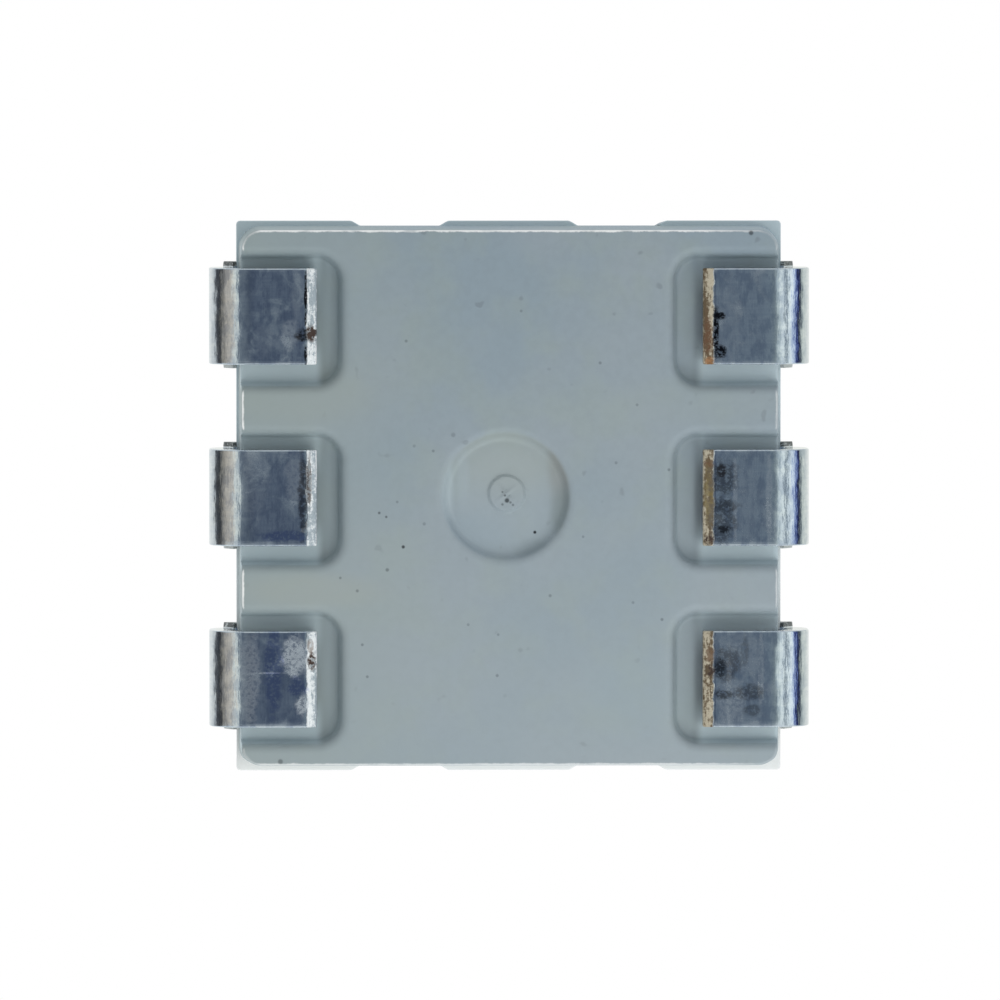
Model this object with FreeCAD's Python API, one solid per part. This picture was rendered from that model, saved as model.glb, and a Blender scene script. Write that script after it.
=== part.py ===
import FreeCAD, Part
import math
import os

# Three-colour surface-mount light-emitting diode: a square moulded housing with a round cup, six bent
# leads, three dies on their die attach, five bond wires and a clear filling.
# Frame: millimetres, z = 0 is the solder plane under the feet, +Z is the way the light leaves, the
# origin is under the middle of the body, and the two rows of leads stand at -X and +X.

# Housing; the lower half is set in by the shelves, and both halves lean by their draft angles
body_length = 5.0
body_width = 5.05
body_top = 1.6
standoff = 0.05
upper_draft = 2.0
lower_draft = 3.0
shelf_x = 0.02
shelf_y = 0.045
lower_corner_radius = 0.21
lower_edge_bevel = 0.035

# Shallow notches that leave three tabs on each side without leads
notch_offset = 1.0
notch_floor = 0.68
notch_depth = 0.05
notch_run = 0.12

# Cup with the filling
cup_wall = 0.45
cup_lean = 0.3
fill_below_rim = 0.03
fill_sag = 0.05

# Corner cut on the upper face that marks lead 1
mark_leg = 0.7
mark_depth = 0.25

# Mould gate under the body
dimple_diameter = 1.19
dimple_depth = 0.12
dimple_draft = 30.0
dimple_edge_radius = 0.09
dimple_floor_bevel = 0.03
gate_diameter = 0.33
gate_height = 0.035

# Leads
lead_rows = 3
lead_gap = 0.78
lead_end_wall = 0.425
lead_thickness = 0.2
lead_reach = 0.25
frame_height = 0.6
foot_length = 0.985
upper_bend_radius = 0.04
lower_bend_radius = 0.17
tip_bevel_length = 0.11
tip_bevel_height = 0.045
stub_length = 0.07
stub_width = 0.05

# Pockets round the feet
foot_clearance = 0.06
pocket_side_gap = 0.11
pocket_tip_gap = 0.21
pocket_draft = 14.0
pocket_corner_radius = 0.2
pocket_floor_bevel = 0.04
pocket_mouth_radius = 0.09

# Fingers of the lead frame inside the housing
neck_length = 0.5
jog_length = 0.6
finger_pitch = 0.85
finger_width = 0.65
long_finger_end = 0.35
finger_gap = 0.25
lock_radius = 0.1

# Dies
red_die_side = 0.28
red_die_height = 0.17
wide_die_length = 0.42
wide_die_width = 0.26
wide_die_height = 0.12
attach_height = 0.015
attach_margin = 0.03

# Bond wires
wire_diameter = 0.03
wire_sides = 8
ball_diameter = 0.085
ball_height = 0.025
stitch_diameter = 0.1
stitch_height = 0.04
loop_height = 0.16
loop_shoulder = 0.06
bond_inset = 0.09
wire_landing = 0.3

# Places worked out from the sizes above
lead_width = (body_width - 2 * lead_end_wall - (lead_rows - 1) * lead_gap) / lead_rows
lead_pitch = lead_width + lead_gap
cup_diameter = min(body_length, body_width) - 2 * cup_wall
cup_floor_diameter = cup_diameter - 2 * cup_lean
frame_top = frame_height + lead_thickness
upper_height = body_top - frame_height
lead_face = body_length / 2 + lead_reach
foot_tip = lead_face - foot_length
pocket_floor = lead_thickness + foot_clearance
short_finger_end = long_finger_end + finger_gap

# How far the cutting tools run past the body, how close two heights count as one, and the way in which
# a swept section passes a corner of its path
mould_run = 0.5
same_place = 1e-6
mitred_corners = 1


def flare(height, draft):
    """Sideways growth of a wall that leans by the draft angle over a height."""
    return height * math.tan(math.radians(draft))


def round_outline(x_low, x_high, y_low, y_high, radius, z):
    """Closed wire of a rectangle with round corners at one height."""
    corners = [(x_high, y_high, 0), (x_low, y_high, 90), (x_low, y_low, 180), (x_high, y_low, 270)]
    edges = []
    last = None
    for x, y, start in corners:
        side_x = 1 if x == x_high else -1
        side_y = 1 if y == y_high else -1
        centre = FreeCAD.Vector(x - side_x * radius, y - side_y * radius, z)
        first, middle, end = [
            centre + FreeCAD.Vector(math.cos(angle), math.sin(angle), 0) * radius
            for angle in (math.radians(start), math.radians(start + 45), math.radians(start + 90))
        ]
        if last is not None:
            edges.append(Part.LineSegment(last, first).toShape())
        edges.append(Part.Arc(first, middle, end).toShape())
        last = end
    edges.append(Part.LineSegment(last, edges[0].Vertexes[0].Point).toShape())
    return Part.Wire(edges)


def drafted_block(x_low, x_high, y_low, y_high, radius, z_from, z_to, draft):
    """Block with round corners whose walls lean inwards by the draft angle from z_from to z_to."""
    inset = flare(abs(z_to - z_from), draft)
    wide = round_outline(x_low, x_high, y_low, y_high, radius, z_from)
    narrow = round_outline(
        x_low + inset, x_high - inset, y_low + inset, y_high - inset, radius - inset, z_to)
    return Part.makeLoft([wide, narrow], True, True)


def flat_edges(shape, z):
    """Edges of a shape that lie at one height."""
    return [edge for edge in shape.Edges
            if abs(edge.BoundBox.ZMin - z) < same_place and abs(edge.BoundBox.ZMax - z) < same_place]


def upper_outline(inset, z):
    """Outline of the upper body with its notches, moved inwards by an inset."""
    x = body_length / 2 - inset
    y = body_width / 2 - inset
    floor = y - notch_depth
    across = []
    for middle in (-notch_offset, notch_offset):
        half = notch_floor / 2
        across += [(middle - half - notch_run, y), (middle - half, floor),
                   (middle + half, floor), (middle + half + notch_run, y)]
    far_side = [(-x, y)] + across + [(x, y)]
    near_side = [(place, -level) for place, level in reversed(far_side)]
    points = [FreeCAD.Vector(place, level, z) for place, level in far_side + near_side]
    return Part.makePolygon(points + [points[0]])


def make_upper_body():
    """Upper half of the housing, drafted towards its top face, with the corner that marks lead 1 cut."""
    inset = flare(upper_height, upper_draft)
    block = Part.makeLoft([upper_outline(0, frame_height), upper_outline(inset, body_top)], True, True)
    corner = FreeCAD.Vector(-body_length / 2, -body_width / 2, body_top + mould_run)
    slope = mark_depth + mould_run
    reach = mark_leg * slope / mark_depth
    along_x = corner + FreeCAD.Vector(reach, 0, 0)
    along_y = corner + FreeCAD.Vector(0, reach, 0)
    below = corner - FreeCAD.Vector(0, 0, slope)
    triangle = Part.makePolygon([corner, along_x, along_y, corner])
    wedge = Part.makeLoft([triangle, Part.Vertex(below)], True, True)
    return block.cut(wedge)


def make_lower_body():
    """Lower half of the housing, drafted towards the solder side."""
    half_x = body_length / 2 - shelf_x
    half_y = body_width / 2 - shelf_y
    return drafted_block(
        -half_x, half_x, -half_y, half_y, lower_corner_radius, frame_height, standoff, lower_draft)


def pocket_block(side, y):
    """Room of the pocket round one foot, open to the side of the body, with a bevelled floor."""
    spread = flare(pocket_floor - standoff, pocket_draft)
    overrun = flare(mould_run, pocket_draft)
    inner = foot_tip - pocket_tip_gap - spread - overrun
    outer = body_length / 2 + mould_run
    half = lead_width / 2 + pocket_side_gap + spread + overrun
    radius = pocket_corner_radius + spread + overrun
    block = drafted_block(
        inner, outer, y - half, y + half, radius, standoff - mould_run, pocket_floor, pocket_draft)
    block = block.makeChamfer(pocket_floor_bevel, flat_edges(block, pocket_floor))
    if side < 0:
        block = block.mirror(FreeCAD.Vector(0, 0, 0), FreeCAD.Vector(1, 0, 0))
    return block


def make_pocket_tool():
    """Tool for all the pockets: their rooms stand on a plate under the body, with rounded mouths."""
    reach_x = body_length / 2 + 2 * mould_run
    reach_y = body_width / 2 + 2 * mould_run
    plate_corner = FreeCAD.Vector(-reach_x, -reach_y, standoff - 2 * mould_run)
    tool = Part.makeBox(2 * reach_x, 2 * reach_y, 2 * mould_run, plate_corner)
    for side in (-1, 1):
        for step in row_places():
            tool = tool.fuse(pocket_block(side, step * lead_pitch))
    mouth_edges = [edge for edge in flat_edges(tool, standoff)
                   if edge.BoundBox.DiagonalLength < body_length / 2]
    return tool.makeFillet(pocket_mouth_radius, mouth_edges)


def make_dimple():
    """Tool for the round dimple at the mould gate."""
    floor_radius = dimple_diameter / 2 - flare(dimple_depth, dimple_draft)
    mouth_radius = dimple_diameter / 2 + flare(mould_run, dimple_draft)
    cone = Part.makeCone(
        mouth_radius, floor_radius, dimple_depth + mould_run, FreeCAD.Vector(0, 0, standoff - mould_run))
    return cone.makeChamfer(dimple_floor_bevel, flat_edges(cone, standoff + dimple_depth))


def side_rim_edges(shape):
    """Edges round the lower end of the body's sides, up and down through the mouths of the pockets."""
    lean = flare(frame_height - standoff, lower_draft)
    rim_x = body_length / 2 - shelf_x - lean
    rim_y = body_width / 2 - shelf_y - lean
    found = []
    for edge in shape.Edges:
        box = edge.BoundBox
        nearest_x = min(abs(box.XMin), abs(box.XMax))
        nearest_y = min(abs(box.YMin), abs(box.YMax))
        on_side_with_leads = nearest_x > rim_x - same_place and box.ZMax < pocket_floor + same_place
        on_other_side = nearest_y > rim_y - same_place
        on_corner = nearest_x > rim_x - lower_corner_radius - same_place
        at_bottom = box.ZMax < standoff + same_place
        if on_side_with_leads or at_bottom and (on_other_side or on_corner):
            found.append(edge)
    return found


def row_places():
    """Places of the leads of one row along Y, as steps from the middle one."""
    return [index - (lead_rows - 1) / 2 for index in range(lead_rows)]


def make_housing(leads):
    """Moulded housing: both halves, pockets, gate dimple, cup and the room that the leads fill."""
    body = make_lower_body().cut(make_pocket_tool())
    body = body.makeChamfer(lower_edge_bevel, side_rim_edges(body))
    body = body.cut(make_dimple())
    dimple_edges = [edge for edge in flat_edges(body, standoff)
                    if edge.BoundBox.DiagonalLength < 2 * dimple_diameter
                    and edge.CenterOfMass.Length < dimple_diameter / 2]
    body = body.makeFillet(dimple_edge_radius, dimple_edges)
    gate_base = FreeCAD.Vector(0, 0, standoff + dimple_depth - gate_height)
    body = body.fuse(Part.makeCylinder(gate_diameter / 2, gate_height, gate_base))
    body = body.fuse(make_upper_body())
    cup = Part.makeCone(
        cup_floor_diameter / 2, cup_diameter / 2, body_top - frame_top, FreeCAD.Vector(0, 0, frame_top))
    body = body.cut(cup)
    for lead in leads:
        body = body.cut(lead)
    return body.removeSplitter()


def make_lead_strip():
    """Outer run of a lead at +X: out of the body, down its side and back under it to the foot's tip."""
    upper_outer = upper_bend_radius + lead_thickness
    lower_outer = lower_bend_radius + lead_thickness
    inside = body_length / 2 - neck_length
    diagonal = math.sqrt(0.5)
    upper = FreeCAD.Vector(lead_face - upper_outer, 0, frame_top - upper_outer)
    lower = FreeCAD.Vector(lead_face - lower_outer, 0, lower_outer)

    def at(x, z):
        return FreeCAD.Vector(x, 0, z)

    def bend(centre, radius, up):
        rise = radius if up else -radius
        halfway = at(radius * diagonal, rise * diagonal)
        return centre + at(0, rise), centre + halfway, centre + at(radius, 0)

    outer_top = bend(upper, upper_outer, True)
    inner_top = bend(upper, upper_bend_radius, True)
    outer_low = bend(lower, lower_outer, False)
    inner_low = bend(lower, lower_bend_radius, False)
    line = Part.LineSegment
    edges = [
        line(at(inside, frame_top), outer_top[0]),
        Part.Arc(*outer_top),
        line(outer_top[2], outer_low[2]),
        Part.Arc(*reversed(outer_low)),
        line(outer_low[0], at(foot_tip + tip_bevel_length, 0)),
        line(at(foot_tip + tip_bevel_length, 0), at(foot_tip, tip_bevel_height)),
        line(at(foot_tip, tip_bevel_height), at(foot_tip, lead_thickness)),
        line(at(foot_tip, lead_thickness), inner_low[0]),
        Part.Arc(*inner_low),
        line(inner_low[2], inner_top[2]),
        Part.Arc(*reversed(inner_top)),
        line(inner_top[0], at(inside, frame_height)),
        line(at(inside, frame_height), at(inside, frame_top)),
    ]
    profile = Part.Face(Part.Wire([edge.toShape() for edge in edges]))
    profile.translate(FreeCAD.Vector(0, -lead_width / 2, 0))
    strip = profile.extrude(FreeCAD.Vector(0, lead_width, 0))
    stub = Part.makeBox(
        stub_length, lead_width + 2 * stub_width, lead_thickness,
        FreeCAD.Vector(body_length / 2, -lead_width / 2 - stub_width, frame_height))
    return strip.fuse(stub)


def make_finger(step, end):
    """Flat finger of the lead frame at +X: a jog from the neck towards the middle, and its pad."""
    exit_y = step * lead_pitch
    pad_y = step * finger_pitch
    neck = body_length / 2 - neck_length
    jog = neck - jog_length
    half_exit = lead_width / 2
    half_pad = finger_width / 2
    points = [
        (neck, exit_y + half_exit), (jog, pad_y + half_pad), (end, pad_y + half_pad),
        (end, pad_y - half_pad), (jog, pad_y - half_pad), (neck, exit_y - half_exit),
    ]
    corners = [FreeCAD.Vector(x, y, frame_height) for x, y in points]
    return Part.Face(Part.makePolygon(corners + [corners[0]])).extrude(FreeCAD.Vector(0, 0, lead_thickness))


def make_lead(side, step):
    """One whole lead: its bent outer run and its finger in the cup. The fingers from -X carry the dies."""
    end = short_finger_end if side > 0 else -long_finger_end
    y = step * lead_pitch
    strip = make_lead_strip()
    strip.translate(FreeCAD.Vector(0, y, 0))
    lead = strip.fuse(make_finger(step, end)).removeSplitter()
    for edge_y in (y - lead_width / 2, y + lead_width / 2):
        lock = Part.makeCylinder(
            lock_radius, lead_thickness,
            FreeCAD.Vector(body_length / 2 - neck_length / 2, edge_y, frame_height))
        lead = lead.cut(lock)
    if side < 0:
        lead = lead.mirror(FreeCAD.Vector(0, 0, 0), FreeCAD.Vector(1, 0, 0))
    return lead


def die_size(colour):
    """Length along X, width along Y and height of a die."""
    if colour == "red":
        return red_die_side, red_die_side, red_die_height
    return wide_die_length, wide_die_width, wide_die_height


def make_die(colour, y):
    """Die, a plain block of semiconductor on its die attach."""
    length, width, height = die_size(colour)
    corner = FreeCAD.Vector(-length / 2, y - width / 2, frame_top + attach_height)
    return Part.makeBox(length, width, height, corner)


def rectangle(half_x, half_y, y, z):
    """Closed wire of a plain rectangle round a place on the Y axis."""
    corners = [(-half_x, -half_y), (half_x, -half_y), (half_x, half_y), (-half_x, half_y)]
    points = [FreeCAD.Vector(across, y + along, z) for across, along in corners]
    return Part.makePolygon(points + [points[0]])


def make_attach(colour, y):
    """Die attach: a thin pad of adhesive that spreads a little past the die."""
    length, width, height = die_size(colour)
    base = rectangle(length / 2 + attach_margin, width / 2 + attach_margin, y, frame_top)
    seat = rectangle(length / 2, width / 2, y, frame_top + attach_height)
    return Part.makeLoft([base, seat], True, True)


def wire_outline(centre):
    """Section of a bond wire where it rises from its ball: a circle drawn with a few flat sides."""
    turns = [2 * math.pi * (index + 0.5) / wire_sides for index in range(wire_sides + 1)]
    return Part.makePolygon([
        centre + FreeCAD.Vector(math.cos(turn), math.sin(turn), 0) * (wire_diameter / 2) for turn in turns])


def make_bond_wire(colour, y, side):
    """Bond wire from a ball on the die, up round its loop and down to a stitch on a finger."""
    length, width, height = die_size(colour)
    start_x = 0 if colour == "red" else side * (length / 2 - bond_inset)
    pad_x = short_finger_end + wire_landing if side > 0 else -length / 2 - wire_landing
    die_top = frame_top + attach_height + height
    start = FreeCAD.Vector(start_x, y, die_top + ball_height / 2)
    shoulder = FreeCAD.Vector(start_x, y, die_top + loop_height - loop_shoulder)
    crest = shoulder + FreeCAD.Vector(side * loop_shoulder, 0, loop_shoulder)
    end = FreeCAD.Vector(pad_x, y, frame_top + stitch_height / 2)
    path = Part.makePolygon([start, shoulder, crest, end])
    wire = path.makePipeShell([wire_outline(start)], True, False, mitred_corners)
    ball = Part.makeCylinder(ball_diameter / 2, ball_height, FreeCAD.Vector(start_x, y, die_top))
    stitch = Part.makeCylinder(stitch_diameter / 2, stitch_height, FreeCAD.Vector(pad_x, y, frame_top))
    return wire.fuse([ball, stitch]).removeSplitter()


def make_encapsulant(inner_pieces):
    """Clear filling of the cup, a little dished, with the room that the dies and wires take."""
    slope = (cup_diameter - cup_floor_diameter) / 2 / (body_top - frame_top)
    rim_z = body_top - fill_below_rim
    rim_radius = cup_floor_diameter / 2 + slope * (rim_z - frame_top)
    sphere_radius = (rim_radius ** 2 + fill_sag ** 2) / (2 * fill_sag)
    halfway = rim_radius / 2
    halfway_rise = sphere_radius - math.sqrt(sphere_radius ** 2 - halfway ** 2)
    centre = FreeCAD.Vector(0, 0, frame_top)
    corner = FreeCAD.Vector(cup_floor_diameter / 2, 0, frame_top)
    rim = FreeCAD.Vector(rim_radius, 0, rim_z)
    crown = FreeCAD.Vector(0, 0, rim_z - fill_sag)
    between = FreeCAD.Vector(halfway, 0, crown.z + halfway_rise)
    section = Part.Wire([
        Part.makeLine(centre, corner), Part.makeLine(corner, rim),
        Part.Arc(rim, between, crown).toShape(), Part.makeLine(crown, centre)])
    filling = Part.Face(section).revolve(FreeCAD.Vector(0, 0, 0), FreeCAD.Vector(0, 0, 1), 360)
    for piece in inner_pieces:
        filling = filling.cut(piece)
    return filling


def make_parts():
    """Every piece by its name."""
    parts = {}
    steps = row_places()
    for number, step in enumerate(steps, start=1):
        parts[f"lead_{number}"] = make_lead(-1, step)
    for number, step in enumerate(reversed(steps), start=len(steps) + 1):
        parts[f"lead_{number}"] = make_lead(1, step)
    parts["housing"] = make_housing(list(parts.values()))
    inner = {}
    for colour, step in (("green", -1), ("red", 0), ("blue", 1)):
        y = step * finger_pitch
        inner[f"{colour}_die"] = make_die(colour, y)
        inner[f"{colour}_die_attach"] = make_attach(colour, y)
        inner[f"{colour}_bond_wire"] = make_bond_wire(colour, y, 1)
        if colour != "red":
            inner[f"{colour}_return_wire"] = make_bond_wire(colour, y, -1)
    parts.update(inner)
    parts["encapsulant"] = make_encapsulant(inner.values())
    return parts


def main():
    os.makedirs("parts", exist_ok=True)
    for name, shape in make_parts().items():
        print(name, shape.isValid(), len(shape.Solids), round(shape.Volume, 5))
        shape.exportStep(f"parts/{name}.step")


main()
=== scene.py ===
import math

import bpy
from mathutils import Matrix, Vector
import numpy as np


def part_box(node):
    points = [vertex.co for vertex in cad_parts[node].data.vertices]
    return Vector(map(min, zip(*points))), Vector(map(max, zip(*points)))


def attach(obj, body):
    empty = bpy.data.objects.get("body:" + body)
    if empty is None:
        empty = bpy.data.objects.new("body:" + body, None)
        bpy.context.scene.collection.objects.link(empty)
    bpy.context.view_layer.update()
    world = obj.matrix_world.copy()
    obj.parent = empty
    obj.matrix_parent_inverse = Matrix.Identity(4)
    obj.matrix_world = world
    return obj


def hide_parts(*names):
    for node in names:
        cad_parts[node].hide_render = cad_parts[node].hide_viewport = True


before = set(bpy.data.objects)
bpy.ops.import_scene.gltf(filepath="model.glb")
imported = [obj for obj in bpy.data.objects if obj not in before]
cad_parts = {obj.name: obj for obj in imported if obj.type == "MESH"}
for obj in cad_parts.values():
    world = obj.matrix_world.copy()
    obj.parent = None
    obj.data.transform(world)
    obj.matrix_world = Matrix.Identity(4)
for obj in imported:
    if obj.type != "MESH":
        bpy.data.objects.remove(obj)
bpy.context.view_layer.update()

# Dresses a three-colour surface-mount light-emitting diode: the moulded housing, the six plated leads, the
# dies with their bond wires and the clear filling. Shapes are worked out in millimetres, with z = 0 under
# the feet, and put into the meshes in metres.

bl_info = {
    "name": "Surface-mount LED looks",
    "version": (1, 0, 0),
    "blender": (4, 5, 0),
    "location": "View3D > Sidebar > LED",
    "description": "Meshes, finishes, light and camera for a six-lead surface-mount LED",
    "category": "Object",
}

MM = 0.001
IMAGE_SIDE = 1000
sharp_edge = math.radians(24)


# Sizes read from the frame

def node_box(name):
    """Lowest and highest corner of a node in millimetres."""
    low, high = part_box(name)
    return np.array(low) / MM, np.array(high) / MM


housing_low, housing_high = node_box("housing")
outer_lead_high = node_box("lead_4")[1]
middle_lead_low, middle_lead_high = node_box("lead_5")
half_length = housing_high[0]
half_width = housing_high[1]
body_top = housing_high[2]
standoff = housing_low[2]
lead_face = outer_lead_high[0]
lead_pitch = outer_lead_high[1] - middle_lead_high[1]
short_finger_end = middle_lead_low[0]

# Housing below the parting line, in millimetres
parting_height = 0.6
shelf_x = 0.02
shelf_y = 0.045
lower_draft = math.radians(3)
lower_corner = 0.21
rim_rounding = 0.03
skirt_pitch = 0.022

# Thin lip along the rim: its height, and its middle and spread counted in grid lines from the flat edge
rim_lip = 0.004
lip_line = 1.5
lip_spread = 0.8

# Housing above the parting line
upper_draft = math.radians(2)
upper_corner = 0.035
upper_rounding = 0.012
top_rounding = 0.03
notch_offset = 1.0
notch_half = 0.34
notch_depth = 0.05
notch_run = 0.12
shoulder_lead = 0.04
mark_leg = 0.7
mark_depth = 0.25

# Cup
cup_radius = 2.05
cup_floor_radius = 1.75
cup_flat_radius = 0.97 * cup_floor_radius
cup_floor = 0.79
cup_rim_rounding = 0.025
cup_foot_rounding = 0.05

# Pockets round the feet, seen from the middle of their lead
pocket_floor = 0.26
pocket_end = 1.555
pocket_half = 0.55
pocket_corner = 0.2
pocket_draft = math.radians(14)
pocket_foot_rounding = 0.04
mouth_fade = 0.09
pocket_pitch = lead_pitch - 0.022

# Plain stretch between the dimple and the pockets
plain_span = (0.8, 1.27)

# How far the pockets' walls are moved. The move is whole between two distances from the middle, and
# between two from the pocket's row, up to an edge along Y. It fades to nothing past them.
wall_shift = (-0.02, 0.03)
moved_reach = (1.35, 1.9)
moved_side = (0.45, 0.75)
moved_edge = 2.3
reach_fade = 0.25
side_fade = (0.2, 0.12)

# Gate dimple under the body
dimple_radius = 0.595
dimple_depth = 0.12
dimple_draft = math.radians(30)
dimple_rounding = 0.09
dimple_foot_rounding = 0.06
dimple_fade = 0.25
dimple_floor_gap = 0.09
dimple_ring_gap = 0.01
dimple_shift = (-0.04, -0.012)
gate_radius = 0.165
gate_height = 0.03
gate_edge = 0.035
gate_shift = (0.012, -0.025)
gate_ridges = ((1.1, 0.016), (-0.8, 0.012))
ridge_half = 0.013
ridge_reach = 0.55 * gate_radius
pit_place = (0.012, 0.018)
pit_radius = 0.016
pit_depth = 0.02

# Leads
lead_width = 0.88
lead_thickness = 0.2
foot_tip = 1.765
upper_bend = 0.04
lower_bend = 0.17
lead_edge = 0.014
tip_bevel = 0.11
tip_rise = 0.045
tip_curve = 1.6
stub_width = 0.05
stub_start = math.radians(63)
stub_sink = 0.01
neck_end = 2.0
jog_end = 1.4
finger_pitch = 0.85
finger_width = 0.65
long_finger_end = 0.35

# Dies, their attach and their wires
frame_top = 0.8
attach_height = 0.015
attach_spread = 0.05
red_die = (0.28, 0.28, 0.17)
wide_die = (0.42, 0.26, 0.12)
die_corner = 0.012
dies = [("green", wide_die, -finger_pitch), ("red", red_die, 0.0), ("blue", wide_die, finger_pitch)]
attach_corner = 0.06
attach_levels = [(-0.004, 0), (0.004, 0.004), (0.012, 0.02), (0.022, 0.04), (0.03, 0.049), (0.031, 0.055)]
pad_radius = 0.05
pad_height = 0.006
pad_levels = [(-0.004, 0), (pad_height - 0.002, 0), (pad_height, 0.004)]
wire_radius = 0.0125
ball_radius = 0.04
ball_height = 0.025
ball_sink = 0.003
neck_radius = 0.018
stitch_half = 0.045
stitch_lift = 0.004
stitch_share = 0.1
stitch_thinning = 0.45
loop_rise = 0.155
bow_start = 1.2
bow_reach = 0.45
bow_top = 1.05
bond_inset = 0.09
wire_landing = 0.3

# Filling
fill_below_rim = 0.03
fill_sag = 0.05
fill_overlap = 0.012
fill_wall_start = 0.25
meniscus_share = 0.38
meniscus_width = 0.035


# Shapes as whole arrays

def smooth_step(value):
    """Soft rise from 0 to 1: three times the square less twice the cube."""
    share = np.clip(value, 0, 1)
    return share * share * (3 - 2 * share)


def rounded_line(corners, radii, steps):
    """Line through the corners, where an arc of the given radius takes the place of each inner corner.

    The arc touches both runs at its radius divided by the tangent of half the angle between them, and its
    points turn evenly about the centre that lies on the line halving that angle.
    """
    corners = [np.array(corner, float) for corner in corners]
    pieces = [corners[:1]]
    for before, corner, after, radius, count in zip(corners, corners[1:], corners[2:], radii, steps):
        to_before = (before - corner) / np.linalg.norm(before - corner)
        to_after = (after - corner) / np.linalg.norm(after - corner)
        half = math.acos(np.clip(to_before @ to_after, -1, 1)) / 2
        middle = (to_before + to_after) / np.linalg.norm(to_before + to_after)
        centre = corner + middle * radius / math.sin(half)
        first = corner + to_before * radius / math.tan(half) - centre
        last = corner + to_after * radius / math.tan(half) - centre
        turn = math.pi - 2 * half
        share = np.linspace(0, 1, count + 1)[:, None]
        arc = (np.sin((1 - share) * turn) * first + np.sin(share * turn) * last) / math.sin(turn)
        pieces.append(centre + arc)
    pieces.append(corners[-1:])
    return np.vstack(pieces)


def turn_corner(first, second):
    """Turns the corner of a square grid onto a circle.

    The larger of a point's two distances becomes its reach from the centre, and the ratio of the smaller
    to the larger one becomes its angle, up to 45 degrees. Returns the reach and both parts of the unit
    direction. Where only one distance is positive, the direction is along that axis.
    """
    reach = np.maximum(np.maximum(first, second), 0)
    smaller = np.maximum(np.minimum(first, second), 0)
    ratio = np.divide(smaller, reach, out=np.zeros_like(reach), where=reach > 0)
    angle = ratio * math.pi / 4
    first_leads = first >= second
    along = np.where(first_leads, np.cos(angle), np.sin(angle))
    across = np.where(first_leads, np.sin(angle), np.cos(angle))
    return reach, along, across


def round_off(first, second, radius, new_radius, fade):
    """Moves the points near a square's corner so that square rings become round ones.

    Inside the radius a ring becomes a circle, whose radius is new_radius of its reach. Outside it the move
    fades to nothing over the fade distance.
    """
    reach, along, across = turn_corner(first, second)
    inside = np.minimum(reach, radius)
    shrink = np.divide(inside, reach, out=np.ones_like(reach), where=reach > 0)
    share = np.clip(1 - (reach - radius) / fade, 0, 1)
    circle = new_radius(inside)
    moved_first = first + (circle * along - first * shrink) * share
    moved_second = second + (circle * across - second * shrink) * share
    return np.where(first > 0, moved_first, first), np.where(second > 0, moved_second, second)


def waves(place, seed, lowest, highest, count):
    """Uneven line along a closed path: a sum of sines with drawn frequencies, phases and weights."""
    random = np.random.default_rng(seed)
    total = np.zeros_like(place)
    for _ in range(count):
        frequency = random.uniform(lowest, highest)
        phase = random.uniform(0, 2 * math.pi)
        total += random.uniform(0.4, 1) * np.sin(place * frequency + phase)
    return total / math.sqrt(count)


def grid_quads(rows, columns, closed):
    """Corners of the four-sided faces of a grid, whose rows may close on themselves."""
    numbers = np.arange(rows * columns).reshape(rows, columns)
    if closed:
        numbers = np.hstack([numbers, numbers[:, :1]])
    corners = [numbers[:-1, :-1], numbers[:-1, 1:], numbers[1:, 1:], numbers[1:, :-1]]
    return np.stack(corners, axis=-1).reshape(-1, 4)


def fan(ring, centre):
    """Three-sided faces from a closed ring of points to the point at its centre."""
    return np.stack([ring, np.roll(ring, -1), np.full_like(ring, centre)], axis=-1)


def capped(rings, ends=None):
    """Closed surface through rings of points, with each end closed by a fan to its middle."""
    stations, around = rings.shape[:2]
    if ends is None:
        ends = rings[[0, -1]].mean(axis=1)
    points = np.vstack([rings.reshape(-1, 3), ends])
    first = np.arange(around)
    last = first + (stations - 1) * around
    triangles = np.vstack([fan(first, len(points) - 2)[:, ::-1], fan(last, len(points) - 1)])
    return points, grid_quads(stations, around, True), triangles


def signed_volume(points, triangles):
    """Six times the volume inside the faces: the sum of the triple products of their corners."""
    first, second, third = (points[triangles[:, place]] for place in range(3))
    return np.einsum("ij,ij->i", first, np.cross(second, third)).sum()


def link_object(name, data):
    """New object in the scene."""
    piece = bpy.data.objects.new(name, data)
    bpy.context.scene.collection.objects.link(piece)
    return piece


def put_mesh(name, points, quads, triangles):
    """New object at the origin from points in millimetres, with all its faces turned outwards."""
    halves = np.vstack([quads[:, [0, 1, 2]], quads[:, [0, 2, 3]], triangles])
    if signed_volume(points, halves) < 0:
        quads = quads[:, ::-1]
        triangles = triangles[:, ::-1]
    mesh = bpy.data.meshes.new(name)
    mesh.vertices.add(len(points))
    mesh.vertices.foreach_set("co", (points * MM).astype(np.float32).ravel())
    corners = np.concatenate([quads.ravel(), triangles.ravel()]).astype(np.int32)
    starts = np.concatenate([np.arange(len(quads)) * 4, quads.size + np.arange(len(triangles)) * 3])
    mesh.loops.add(len(corners))
    mesh.loops.foreach_set("vertex_index", corners)
    mesh.polygons.add(len(starts))
    mesh.polygons.foreach_set("loop_start", starts.astype(np.int32))
    mesh.update(calc_edges=True)
    mesh.validate()
    mesh.polygons.foreach_set("use_smooth", np.ones(len(mesh.polygons), bool))
    mesh.set_sharp_from_angle(angle=sharp_edge)
    return link_object(name, mesh)


def dress(piece, nodes, finish):
    """Gives a piece its finish, lets it ride with the part, and stand for its nodes if it has any."""
    piece.data.materials.append(finish)
    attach(piece, "root")
    if nodes:
        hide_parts(*nodes)


# Housing

lower_lean = (parting_height - standoff) * math.tan(lower_draft)
plateau_corner = lower_corner - lower_lean
corner_x = half_length - shelf_x - lower_lean - plateau_corner
corner_y = half_width - shelf_y - lower_lean - plateau_corner


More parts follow.
